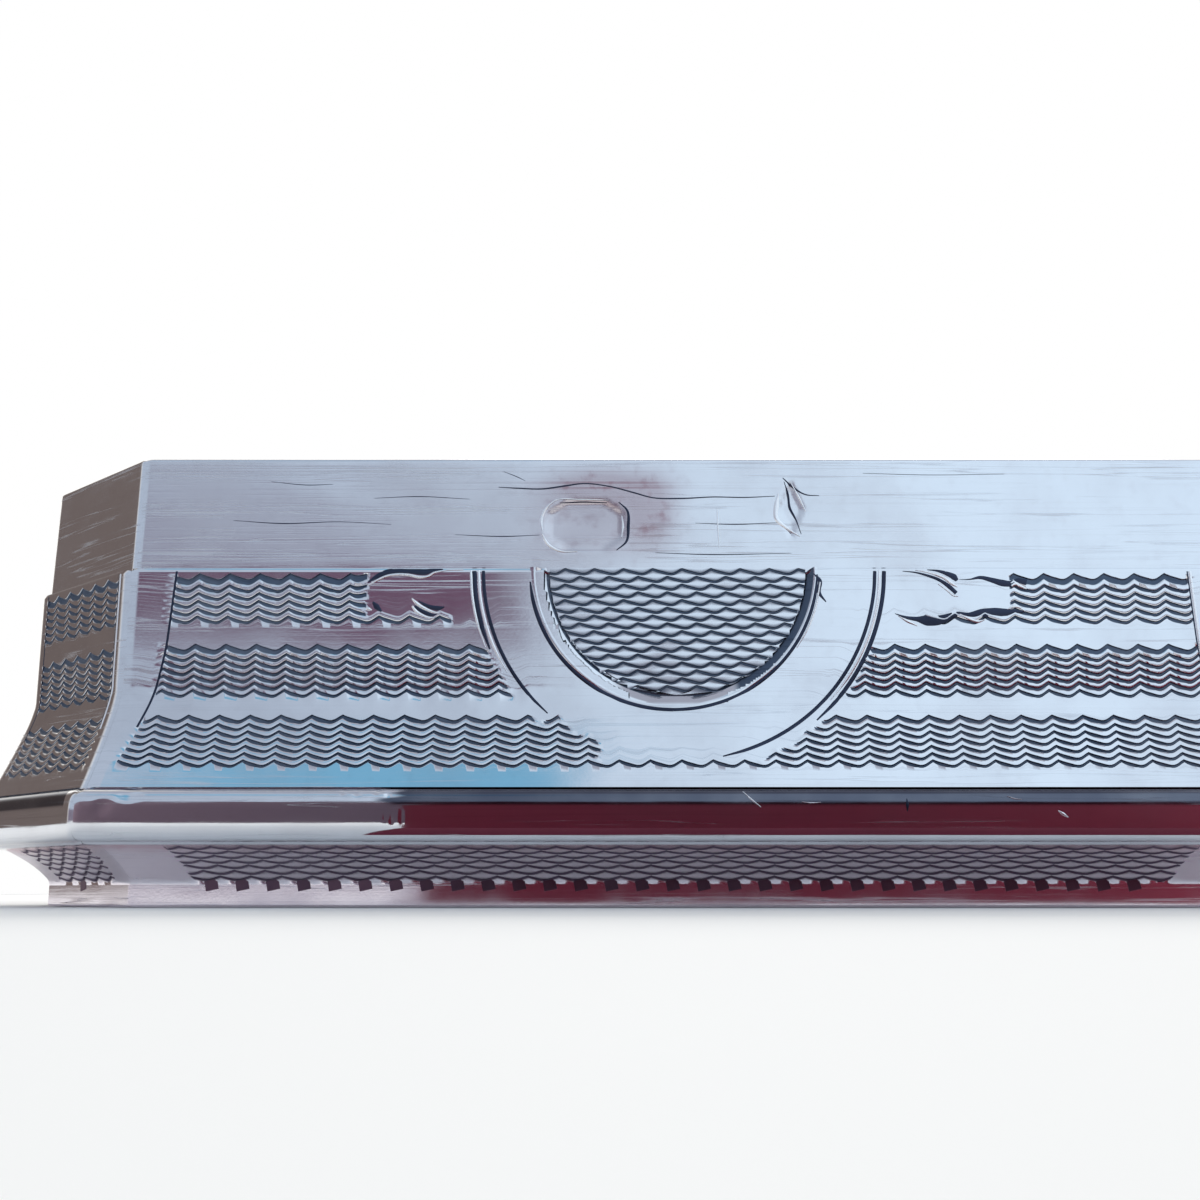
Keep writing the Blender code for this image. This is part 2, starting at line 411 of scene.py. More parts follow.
@dataclass(frozen=True)
class Section:
    """A curve in (offset from the waist, height) that a strip follows on its way down."""

    points: tuple[tuple[float, float], ...]
    reach_part: ClassVar[int] = 200

    @property
    def runs(self) -> Points:
        """The distance run at each of the section's own points."""
        steps = np.hypot(*np.diff(np.array(self.points), axis=0).T)
        return np.concatenate([[0.0], np.cumsum(steps)])

    @property
    def length(self) -> float:
        """The whole run of the curve."""
        return float(self.runs[-1])

    def at(self, down: Points) -> Points:
        """Offset and height at each distance down.

        Args:
            down: distances run down the curve from its top.

        Returns:
            A pair for each distance.
        """
        runs = self.runs
        curve = np.array(self.points)
        return np.stack([np.interp(down, runs, curve[:, i]) for i in (0, 1)], axis=-1)

    def down_at(self, height: Points) -> Points:
        """The distance run at each height, on a curve that falls all the way."""
        heights = np.array(self.points)[:, 1]
        return np.interp(-height, -heights, self.runs)

    def heading(self, down: Points) -> Points:
        """The unit direction of the curve at each distance down.

        Args:
            down: distances run down the curve from its top.

        Returns:
            A pair of offset and height for each distance.
        """
        reach = self.length / self.reach_part
        before = self.at(np.clip(down - reach, 0.0, self.length))
        after = self.at(np.clip(down + reach, 0.0, self.length))
        ahead = after - before
        return ahead / np.linalg.norm(ahead, axis=-1, keepdims=True)


@dataclass(frozen=True)
class Facet:
    """One flat side of the plan at the waist."""

    side: Side
    middle: tuple[float, float]
    half: float

    @property
    def along(self) -> Points:
        """The unit direction of the facet, to the right as it is faced."""
        return np.array([math.cos(self.side.turn), math.sin(self.side.turn)])

    @property
    def outward(self) -> Points:
        """The unit direction that the facet faces."""
        return np.array([math.sin(self.side.turn), -math.cos(self.side.turn)])

    def reach(self, offset: Points) -> Points:
        """Half the facet's length at an offset, up to the mitre."""
        return self.half + offset * MITRE_SHARE

    def place(self, along: Points, offset: Points, height: Points) -> Points:
        """Points in space from distances along and out and a height."""
        flat = np.array(self.middle) + along[..., None] * self.along + offset[..., None] * self.outward
        return np.concatenate([flat, height[..., None]], axis=-1)

    def direction(self, heading: Points) -> Points:
        """Directions in space from (outward, up) pairs."""
        flat = heading[..., :1] * self.outward
        return np.concatenate([flat, heading[..., 1:]], axis=-1)


@dataclass(frozen=True)
class Plan:
    """The plan of the box, read from the frame."""

    half_width: float
    half_depth: float
    joint: float
    hinge_y: float
    mouth: float
    wall_foot: float
    cant: float = 0.0067
    seam: ClassVar[float] = 0.0002

    @classmethod
    def from_frame(cls, flare: float) -> Plan:
        """Read the plan from the CAD wall and the hinge joint.

        Args:
            flare: how far the wall's foot stands out beyond its waist.

        Returns:
            The plan.
        """
        low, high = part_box("base_wall")
        hinge = frame["record"]["behaviour"]["joints"][0]["pos_m"]
        return cls(high.x - flare, high.y - flare, hinge[2], hinge[1], high.z, low.z - cls.seam)

    def facet(self, side: Side) -> Facet:
        """The facet on one side.

        Args:
            side: the side.

        Returns:
            Its facet.
        """
        right, back = math.sin(side.turn), -math.cos(side.turn)
        if side.canted:
            across = math.copysign(self.half_width - self.cant / 2, right)
            deep = math.copysign(self.half_depth - self.cant / 2, back)
            return Facet(side, (across, deep), self.cant / math.sqrt(2))
        middle = (right * self.half_width, back * self.half_depth)
        wide = side in (Side.FRONT, Side.BACK)
        return Facet(side, middle, (self.half_width if wide else self.half_depth) - self.cant)

    def settle(self, points: Points, half: Half) -> Points:
        """Points of the base as they are, or turned about the upright line through the hinge for the lid.

        Args:
            points: points of the open base.
            half: the half they belong to.

        Returns:
            The points where that half lies at rest.
        """
        if half is Half.BASE:
            return points
        turned = points.copy()
        turned[..., 0] = -points[..., 0]
        turned[..., 1] = self.hinge_y * 2 - points[..., 1]
        return turned

    def swing(self, directions: Points, half: Half) -> Points:
        """Directions on the base, or as they stand on the lid.

        Args:
            directions: directions on the base.
            half: the half they belong to.

        Returns:
            The directions on that half at rest.
        """
        if half is Half.BASE:
            return directions
        return directions * np.array([-1.0, -1.0, 1.0])


@dataclass(frozen=True)
class Row:
    """One row of a turned strip: its place down the section, and its shares of what the engine does.

    swing is its share of the waves and fin of the burr beside each crest. phase is the shift of its waves in
    wave lengths, depth its share of the groove's depth, and cut how dark it is: tarnish in a groove, and
    painted shade on the wire's top.
    """

    down: float
    swing: float = 0.0
    fin: float = 0.0
    phase: float = 0.0
    depth: float = 0.0
    cut: float = 0.0


@dataclass(frozen=True)
class Waves:
    """The setting of the turning engine, in metres.

    profile_shares is the groove's shape from above down, as (place in its width, depth, how dark, burr).
    """

    pitch: float = 0.00134
    swing: float = 0.00027
    fin: float = 0.00006
    depth: float = 0.00006
    groove: float = 0.00015
    skew: float = 0.07
    profile_shares: tuple[tuple[float, float, float, float], ...] = (
        (-0.50, 0.0, 0.0, 0.0),
        (-0.34, 1.0, 1.0, 0.0),
        (0.18, 0.8, 1.0, 0.3),
        (0.50, 0.0, 0.0, 1.0),
    )
    crown_share: float = -0.25

    def band(self, first: float, lines: int, spacing: float, head: float = 0.0,
             alternate: bool = False) -> list[Row]:
        """The rows of a band of grooves.

        Args:
            first: where the first groove's middle crests, down the section.
            lines: how many grooves.
            spacing: from groove to groove.
            head: how much wider the first groove is.
            alternate: whether every other groove is half a wave on.

        Returns:
            The rows, from the top down.
        """
        rows = []
        for i in range(lines):
            middle = first + i * spacing + (head / 2 if i else 0.0)
            width = self.groove + (0.0 if i else head)
            phase = (i % 2) / 2 if alternate else 0.0
            for place, depth, cut, fin in self.profile_shares:
                rows.append(Row(middle + place * width, 1.0, fin, phase, depth, cut))
            if i < lines - 1 and alternate:
                rows.append(Row(middle + (spacing + self.swing) / 2))
            elif i < lines - 1:
                crown = middle + head / 4 * (i == 0) + spacing / 2
                rows.append(Row(crown, 1.0, 0.0, phase, self.crown_share))
        return rows

    def room_below(self) -> float:
        """How far the last groove's waves and burrs hang below its middle."""
        return self.groove / 2 + self.swing + self.fin


SCALE_PROFILE = (
    (-0.50, 0.0, 0.36, 0.0),
    (-0.34, 1.0, 1.0, 0.0),
    (0.18, 0.8, 1.0, 0.3),
    (0.50, 0.0, 0.36, 1.0),
)


Mask = Callable[[Points, Points], Points]
AIMS = ("downward", "outward")


def everywhere(along: Points, height: Points) -> Points:
    """A mask that leaves the whole field cut."""
    return np.ones_like(along)


def nowhere(along: Points, height: Points) -> Points:
    """A mask that dents nothing."""
    return np.zeros_like(along)


@dataclass
class SheetMesh:
    """A closed sheet: rows of points down its face and back up behind it, capped at both ends."""

    face: Points
    back: Points
    marks: dict[str, Points] = field(default_factory=dict)

    def settled(self, plan: Plan, half: Half) -> SheetMesh:
        """The sheet as it stands on one half of the box, with its directions."""
        aims = {name: plan.swing(self.marks[name], half) for name in AIMS if name in self.marks}
        return SheetMesh(plan.settle(self.face, half), plan.settle(self.back, half), {**self.marks, **aims})

    def add_to(self, faces: list[list[int]], points: list[Points], marks: dict[str, list[Points]]) -> None:
        """Append this sheet's points, faces and marks to lists that several sheets share.

        Args:
            faces: each face's point numbers.
            points: blocks of points.
            marks: blocks of values by the mark's name.
        """
        start = sum(len(block) for block in points)
        rows = np.concatenate([self.face, self.back])
        count, width = rows.shape[:2]
        index = start + np.arange(count * width).reshape(count, width)
        ahead = np.roll(index, -1, axis=0)
        quads = np.stack([index[:, :-1], ahead[:, :-1], ahead[:, 1:], index[:, 1:]], axis=-1)
        faces.extend(quads.reshape(-1, 4).tolist())
        faces.append(index[:, 0][::-1].tolist())
        faces.append(index[:, -1].tolist())
        points.append(rows.reshape(-1, 3))
        for name, values in self.marks.items():
            blank = np.zeros((len(self.back),) + values.shape[1:])
            whole = np.concatenate([values, blank])
            marks.setdefault(name, []).append(whole.reshape(count * width, *values.shape[2:]))


def new_object(name: str, mesh: bpy.types.Mesh) -> bpy.types.Object:
    """An object of that name in the scene, with its mesh.

    Args:
        name: the object's name.
        mesh: what it is made of.

    Returns:
        The object, at the origin.
    """
    obj = bpy.data.objects.new(name, mesh)
    bpy.context.scene.collection.objects.link(obj)
    return obj


def face_out(mesh: bpy.types.Mesh) -> None:
    """Turn every face of a closed mesh outwards, and shade it smooth but for its sharp edges.

    Args:
        mesh: the mesh, which is changed in place.
    """
    bm = bmesh.new()
    bm.from_mesh(mesh)
    bmesh.ops.recalc_face_normals(bm, faces=bm.faces)
    bm.to_mesh(mesh)
    bm.free()
    mesh.shade_smooth()
    mesh.set_sharp_from_angle(angle=SHARP_EDGE)


def row_marks(rows: Sequence[Row], along: Points, down: Points, steady: Points,
              inside: Points) -> dict[str, Points]:
    """The rows' marks over all columns: their waves where the field is steady, the rest inside it.

    Args:
        rows: the rows, from the top down.
        along: how far along each point lies, a line for each row.
        down: how far down the section each point lies.
        steady: 1 where the waves swing, 0 where they lie still.
        inside: 1 inside the field, 0 outside it.

    Returns:
        The values of each mark by its name.
    """
    shares = {"swing": steady, "fin": inside, "phase": 1.0, "depth": inside, "cut": inside}
    marks = {"along": along, "down": down}
    for name, share in shares.items():
        values = np.array([getattr(row, name) for row in rows])[:, None]
        marks[name] = values * np.ones_like(along) * share
    return marks


def object_from_sheets(name: str, sheets: Sequence[SheetMesh]) -> bpy.types.Object:
    """One object from closed sheets, with their marks as attributes and its faces pointing out.

    Args:
        name: the object's name.
        sheets: the closed sheets.

    Returns:
        The object.
    """
    faces: list[list[int]] = []
    points: list[Points] = []
    marks: dict[str, list[Points]] = {}
    for sheet in sheets:
        sheet.add_to(faces, points, marks)
    mesh = bpy.data.meshes.new(name)
    mesh.from_pydata(np.concatenate(points).tolist(), [], faces)
    for mark, blocks in marks.items():
        values = np.concatenate(blocks)
        kind = "FLOAT" if values.ndim == 1 else "FLOAT_VECTOR"
        layer = mesh.attributes.new(mark, kind, "POINT")
        layer.data.foreach_set("value" if values.ndim == 1 else "vector", values.ravel())
    face_out(mesh)
    return new_object(name, mesh)


def settle_nodes(obj: bpy.types.Object, tree: bpy.types.NodeTree, values: dict[str, object]) -> None:
    """Run a Geometry Nodes tree on an object and keep the result as its plain mesh.

    Args:
        obj: the object that the modifier is put on.
        tree: the node tree.
        values: the tree's inputs by name.
    """
    modifier = obj.modifiers.new(tree.name, "NODES")
    modifier.node_group = tree
    for item in tree.interface.items_tree:
        if item.name in values:
            modifier[item.identifier] = values[item.name]
    obj.update_tag()
    bpy.context.view_layer.update()
    evaluated = obj.evaluated_get(bpy.context.evaluated_depsgraph_get())
    mesh = bpy.data.meshes.new_from_object(evaluated)
    obj.modifiers.remove(modifier)
    old = obj.data
    name = old.name
    obj.data = mesh
    bpy.data.meshes.remove(old)
    mesh.name = name
    for helper in ("swing", "fin", "phase", "depth", *AIMS):
        layer = mesh.attributes.get(helper)
        if layer:
            mesh.attributes.remove(layer)


def open_tree(name: str, shape: str, sizes: Sequence[str], result: str) -> bpy.types.NodeTree:
    """A Geometry Nodes tree with its named inputs: a shape, sizes and a metal.

    Args:
        name: the tree's name.
        shape: the name of its input for geometry.
        sizes: the names of its inputs for numbers.
        result: the name of its output.

    Returns:
        The tree, without nodes.
    """
    tree = bpy.data.node_groups.new(name, "GeometryNodeTree")
    tree.interface.new_socket(shape, in_out="INPUT", socket_type="NodeSocketGeometry")
    for size in sizes:
        tree.interface.new_socket(size, in_out="INPUT", socket_type="NodeSocketFloat")
    tree.interface.new_socket("Metal", in_out="INPUT", socket_type="NodeSocketMaterial")
    tree.interface.new_socket(result, in_out="OUTPUT", socket_type="NodeSocketGeometry")
    return tree


def close_tree(graph: Graph, shape: Term, metal: Term) -> None:
    """End a Geometry Nodes tree: real geometry in its metal.

    Args:
        graph: the tree's graph.
        shape: the geometry to give out.
        metal: the material that it gets.
    """
    whole = graph.out("GeometryNodeRealizeInstances", {"Geometry": shape})
    done = graph.out("GeometryNodeSetMaterial", {"Geometry": whole, "Material": metal})
    graph.node("NodeGroupOutput", {0: done})


class TurningEngine:
    """A Geometry Nodes tree that swings the rows of a strip into waves and sinks their grooves."""

    crest_power = 1.10

    def __init__(self) -> None:
        """Build the tree once for every strip."""
        sizes = ("Pitch", "Swing", "Fin", "Depth", "Skew")
        self.tree = open_tree("turning_engine", "Strip", sizes, "Turned")
        graph = Graph(self.tree)
        given = graph.given()
        turn = graph.stored("along") / given["Pitch"] + graph.stored("phase")
        leaning = turn + ((turn * math.tau).cos() - 1.0) * given["Skew"]
        crest = (leaning * math.pi).sin().abs() ** self.crest_power
        burr = (turn * math.tau).sin().most(0.0)
        shift = crest * graph.stored("swing") * given["Swing"] + burr * graph.stored("fin") * given["Fin"]
        sink = graph.stored("depth") * given["Depth"] * -1.0
        down = graph.scaled(graph.stored("downward", "FLOAT_VECTOR"), shift)
        inward = graph.scaled(graph.stored("outward", "FLOAT_VECTOR"), sink)
        move = graph.out("ShaderNodeVectorMath", {0: down, 1: inward}, operation="ADD")
        moved = graph.out("GeometryNodeSetPosition", {"Geometry": given["Strip"], "Offset": move})
        close_tree(graph, moved, given["Metal"])

    def run(self, strip: bpy.types.Object, waves: Waves, metal: bpy.types.Material) -> None:
        """Turn one strip and leave the result as its plain mesh.

        Args:
            strip: the object to be turned.
            waves: the waves' setting.
            metal: the material that it gets.
        """
        values = {
            "Pitch": waves.pitch,
            "Swing": waves.swing,
            "Fin": waves.fin,
            "Depth": waves.depth,
            "Skew": waves.skew,
            "Metal": metal,
        }
        settle_nodes(strip, self.tree, values)
        strip.data.set_sharp_from_angle(angle=SHARP_EDGE)


@dataclass
class Strip:
    """A strip of metal along one facet, cut by rows of waves.

    Its field ends a margin short of each mitre and has so many steps to a pitch. mask says where it is cut,
    and calm where its lines lie still. dent is how deep a place is sunk, and stain how strong its brown is:
    a bloom, and on the cove the painted shade under the wire.
    """

    facet: Facet
    section: Section
    rows: list[Row]
    backing: Section
    backing_rows: int = 2
    margin: Union[float, Points] = 0.0008
    steps: int = 6
    pitch: float = 0.0012
    mask: Mask = everywhere
    calm: Mask = nowhere
    dent: Mask = nowhere
    stain: Mask = nowhere
    blend: float = 0.0003
    blend_steps: int = 14
    mitre_round: float = 0.0009
    mitre_steps: int = 6
    plain_shares: ClassVar[tuple[float, float]] = (0.04, 0.25)
    edge_part: ClassVar[int] = 24

    @property
    def _margins(self) -> Points:
        """How far the field keeps from the mitre, row by row."""
        return np.broadcast_to(self.margin, (len(self.rows),))[:, None]

    def _columns(self, curve: Points) -> tuple[Points, Points]:
        """Places along the facet for each row, and how far each lies in from the flat.

        They keep to the waves in the field, fan out to the mitres and round off into them.

        Args:
            curve: the section's offset and height at each row.

        Returns:
            The places and the distances in, a line for each row.
        """
        reach = self.facet.reach(curve[:, 0])[:, None]
        margins = self._margins
        least = float((reach - margins).min()) - self.blend
        step = self.pitch / self.steps
        count = max(int(least / step), 1)
        inner = np.arange(-count, count + 1) * step
        field_end = reach - margins
        share = np.arange(1, self.blend_steps + 1) / self.blend_steps
        blend = inner[-1] + (field_end - inner[-1]) * share
        flat = field_end + margins * np.array(self.plain_shares)
        turns = np.linspace(0.0, math.pi / 8, self.mitre_steps)
        tangent = self.mitre_round * MITRE_SHARE
        round_off = reach - tangent + self.mitre_round * np.sin(turns)
        right = np.concatenate([blend, flat, round_off], axis=1)
        middle = np.broadcast_to(inner, (len(curve), len(inner)))
        along = np.concatenate([-right[:, ::-1], middle, right], axis=1)
        drop = np.zeros_like(along)
        fall = self.mitre_round * (1.0 - np.cos(turns))
        drop[:, -self.mitre_steps:] = fall
        drop[:, : self.mitre_steps] = fall[::-1]
        return along, drop

    def sheet(self) -> SheetMesh:
        """The strip as a closed sheet, with the marks that the turning engine reads.

        Returns:
            The sheet.
        """
        down = np.array([row.down for row in self.rows])
        curve = self.section.at(down)
        heading = self.section.heading(down)
        facing = np.stack([-heading[:, 1], heading[:, 0]], axis=-1)
        along, drop = self._columns(curve)
        whole = np.ones_like(along)
        offset = curve[:, :1] * whole
        height = curve[:, 1:] * whole
        sunk = drop + self.dent(along, height)
        margins = self._margins
        over = self.facet.reach(offset) - margins - np.abs(along)
        inside = np.clip(over / (self.pitch / self.edge_part) + 0.5, 0.0, 1.0) * self.mask(along, height)
        steady = np.clip((over + margins / 2) / (margins / 2), 0.0, 1.0) * (1.0 - self.calm(along, height))
        face = self.facet.place(along, offset - sunk * facing[:, :1], height - sunk * facing[:, 1:])
        marks = row_marks(self.rows, along, down[:, None] * whole, steady, inside)
        marks["stain"] = self.stain(along, height)
        for name, aim in zip(AIMS, (heading, facing)):
            marks[name] = self.facet.direction(aim)[:, None, :] * whole[..., None]
        back_curve = self.backing.at(np.linspace(self.backing.length, 0.0, self.backing_rows))
        along = self._back_columns(back_curve, whole.shape[1])
        whole = np.ones_like(along)
        back = self.facet.place(along, back_curve[:, :1] * whole, back_curve[:, 1:] * whole)
        return SheetMesh(face, back, marks)

    def _back_columns(self, curve: Points, width: int) -> Points:
        """Places along the facet for each row behind the strip, out to the mitres."""
        return self.facet.reach(curve[:, 0])[:, None] * np.linspace(-1.0, 1.0, width)


@dataclass
class DiscStrip(Strip):
    """A strip whose rows end on the lower half of a circle about the middle of its top edge."""

    radius: float = 0.001
    centre: float = 0.0
    columns: int = 180
    tip_part: ClassVar[int] = 40

    def _columns(self, curve: Points) -> tuple[Points, Points]:
        """Places spread evenly over each row's chord.

        Args:
            curve: the section's offset and height at each row.

        Returns:
            The places and the distances in, a line for each row.
        """
        fall = self.section.points[0][1] - curve[:, 1]
        tip = self.radius / self.tip_part
        chord = np.sqrt(np.maximum(self.radius**2 - fall**2, tip**2))
        along = self.centre + chord[:, None] * np.linspace(-1.0, 1.0, self.columns)
        return along, np.zeros_like(along)

    def _back_columns(self, curve: Points, width: int) -> Points:
        """The same outline, behind."""
        return self._columns(curve)[0]


# Engraving


@dataclass(frozen=True)
class Stroke:
    """A graver's stroke on a facet.

    places are (along, fall below the strip's top edge, width) in metres. A raised stroke is the bright burr
    beside a cut, and a sunk one the dark cut itself.
    """

    places: tuple[Place, ...]
    raised: bool = False
    rise: float = 0.000012
    burr_rise: float = 0.000026
    depth: float = 0.00004
    steps: int = 5
    crown: ClassVar[tuple[tuple[float, float], ...]] = (
        (-0.5, 0.0), (-0.28, 0.8), (0.0, 1.0), (0.28, 0.8), (0.5, 0.0),
    )
    arc_step: ClassVar[float] = 6.0
    taper: ClassVar[float] = 8.0
    thin_end: ClassVar[float] = 0.35

    @classmethod
    def arc(cls, centre: float, radius: float, start: float, end: float, width: float,
            raised: bool = False) -> Stroke:
        """A stroke round a centre on the joint, from angle to angle in degrees, thinned at its end.

        Args:
            centre: the centre's place along the wall.
            radius: the arc's radius.
            start: the angle where it starts.
            end: the angle where it ends.
            width: its full width.
            raised: whether it is a burr and not a cut.

        Returns:
            The stroke.
        """
        places = []
        count = max(int(abs(end - start) / cls.arc_step), 4)
        for turn in np.radians(np.linspace(start, end, count)):
            fullness = min(abs(turn - math.radians(end)) / math.radians(cls.taper), 1.0)
            share = cls.thin_end + (1 - cls.thin_end) * fullness
            places.append((centre + radius * math.cos(turn), -radius * math.sin(turn), width * share))
        return cls(tuple(places), raised)

    def sheet(self, facet: Facet, section: Section) -> SheetMesh:
        """The stroke as a thin closed ribbon that lies on the strip.

        Args:
            facet: the facet of the wall.
            section: the wall's section on it.

        Returns:
            The ribbon.
        """
        knots = np.array(self.places)
        runs = np.concatenate([[0.0], np.cumsum(np.hypot(*np.diff(knots[:, :2], axis=0).T))])
        fine = np.linspace(0.0, runs[-1], self.steps * len(knots))
        path = np.stack([self._smooth(runs, knots[:, i], fine) for i in (0, 1)], axis=-1)
        width = np.interp(fine, runs, knots[:, 2])
        ahead = np.gradient(path, axis=0)
        ahead /= np.linalg.norm(ahead, axis=1, keepdims=True)
        across = np.stack([-ahead[:, 1], ahead[:, 0]], axis=-1)
        top = self.burr_rise if self.raised else self.rise
        spread = [(place, top * share) for place, share in self.crown]
        spread += [(0.5, -self.depth), (-0.5, -self.depth)]
        rows = [self._row(path + across * (width * s)[:, None], rise, facet, section) for s, rise in spread]
        points = np.stack(rows)
        shown = len(self.crown)
        marks = {name: np.zeros((shown, len(path))) for name in ("along", "down", "cut", "stain")}
        marks["along"] += path[:, 0]
        marks["down"] += path[:, 1]
        return SheetMesh(points[:shown], points[shown:], marks)

    @staticmethod
    def _smooth(runs: Points, values: Points, fine: Points) -> Points:
        """A smooth curve through the knots, by cubic steps between them.

        Args:
            runs: the distance run at each knot.
            values: the value at each knot.
            fine: the distances run where values are wanted.

        Returns:
            The values there.
        """
        slope = np.gradient(values, runs)
        index = np.clip(np.searchsorted(runs, fine, side="right") - 1, 0, len(runs) - 2)
        span = runs[index + 1] - runs[index]
        t = (fine - runs[index]) / span
        first = values[index] * (2 * t**3 - 3 * t**2 + 1) + slope[index] * span * (t**3 - 2 * t**2 + t)
        second = values[index + 1] * (3 * t**2 - 2 * t**3) + slope[index + 1] * span * (t**3 - t**2)
        return first + second

    @staticmethod
    def _row(path: Points, rise: float, facet: Facet, section: Section) -> Points:
        """One edge of the ribbon, a little off the strip.

        Args:
            path: pairs of place along and fall below the section's top.
            rise: how far the edge stands off the face.
            facet: the facet of the wall.
            section: the wall's section on it.

        Returns:
            The edge's points.
        """
        top = max(height for _, height in section.points)
        down = np.clip(section.down_at(top - path[:, 1]), 0.0, section.length)
        curve = section.at(down)
        heading = section.heading(down)
        offset = curve[:, 0] - heading[:, 1] * rise
        height = curve[:, 1] + heading[:, 0] * rise
        return facet.place(path[:, 0], offset, height)


def cuts(*paths: Sequence[Place], raised: bool = False) -> tuple[Stroke, ...]:
    """Dark cuts, one from each path of (along, fall, width) in millimetres."""
    scaled = (tuple(tuple(value * MILLIMETRE for value in place) for place in path) for path in paths)
    return tuple(Stroke(places, raised) for places in scaled)


def burrs(*paths: Sequence[Place]) -> tuple[Stroke, ...]:
    """Bright burrs, one from each path in millimetres."""
    return cuts(*paths, raised=True)


LEFT_FLOURISH = cuts(
    ((-13.95, 0.69, 0.06), (-13.57, 0.45, 0.22), (-13.15, 0.25, 0.27), (-12.67, 0.16, 0.26),
     (-12.18, 0.17, 0.24), (-11.41, 0.2, 0.34), (-11.08, 0.13, 0.19), (-10.64, 0.1, 0.05)),
    ((-11.68, 1.53, 0.05), (-11.41, 1.7, 0.14), (-11.07, 1.83, 0.19), (-10.78, 1.87, 0.22),
     (-10.52, 1.81, 0.05)),
    ((-11.84, 1.77, 0.12), (-11.6, 1.94, 0.17), (-11.3, 2.09, 0.19), (-11.01, 2.19, 0.14),
     (-10.77, 2.11, 0.06)),
    ((-13.7, 1.58, 0.08), (-13.52, 1.8, 0.27), (-13.3, 2.02, 0.08)),
) + burrs(
    ((-13.94, 0.84, 0.07), (-13.57, 0.62, 0.11), (-13.14, 0.42, 0.12), (-12.66, 0.34, 0.12),
     (-12.18, 0.36, 0.12), (-11.64, 0.46, 0.13), (-11.26, 0.42, 0.12), (-11.05, 0.28, 0.11),
     (-10.64, 0.17, 0.09), (-9.73, 0.12, 0.05)),
    ((-11.97, 1.43, 0.06), (-11.75, 1.65, 0.15), (-11.41, 1.87, 0.14), (-11.02, 2.03, 0.11),
     (-10.73, 2.08, 0.05)),
    ((-11.94, 1.77, 0.08), (-11.79, 1.99, 0.14), (-11.49, 2.19, 0.13), (-11.1, 2.31, 0.11),
     (-10.87, 2.28, 0.04)),
    ((-14.0, 1.87, 0.08), (-13.88, 1.9, 0.16), (-13.73, 1.95, 0.06)),
)
RIGHT_FLOURISH = cuts(
    ((9.81, 0.19, 0.03), (10.37, 0.25, 0.07), (10.97, 0.41, 0.12), (11.48, 0.62, 0.15),
     (11.88, 0.91, 0.2), (12.17, 1.19, 0.18)),
    ((10.91, 0.12, 0.04), (11.39, 0.18, 0.12), (11.79, 0.31, 0.2), (12.1, 0.47, 0.29), (12.22, 0.62, 0.15)),
    ((12.3, 0.58, 0.02), (12.81, 0.56, 0.06), (13.22, 0.48, 0.15), (13.77, 0.6, 0.23),
     (14.23, 0.73, 0.31), (14.6, 0.76, 0.26), (14.95, 0.66, 0.3), (15.3, 0.72, 0.3)),
    ((9.42, 2.11, 0.03), (9.9, 2.28, 0.13), (10.41, 2.36, 0.22), (10.81, 2.41, 0.5), (11.32, 2.41, 0.44),
     (11.73, 2.28, 0.32), (12.19, 2.12, 0.2), (12.65, 2.17, 0.2), (13.26, 2.08, 0.37),
     (13.87, 2.05, 0.41), (14.48, 2.05, 0.3), (15.09, 2.02, 0.1)),
) + burrs(
    ((10.37, 0.14, 0.04), (11.08, 0.28, 0.09), (11.69, 0.52, 0.14), (11.98, 0.75, 0.16),
     (12.23, 0.91, 0.05)),
    ((11.37, 0.78, 0.03), (11.77, 1.06, 0.09), (12.07, 1.3, 0.1), (12.24, 1.34, 0.03)),
    ((9.57, 2.22, 0.04), (10.0, 2.46, 0.15), (10.4, 2.65, 0.07)),
    ((12.28, 2.13, 0.05), (12.64, 2.31, 0.15), (13.14, 2.46, 0.13), (13.38, 2.38, 0.04)),
    ((14.41, 1.92, 0.05), (14.69, 1.79, 0.1), (14.95, 1.84, 0.11), (15.22, 2.02, 0.05)),
    ((14.63, 0.86, 0.1), (14.79, 0.76, 0.17), (15.04, 0.88, 0.15), (15.29, 0.99, 0.06)),
)
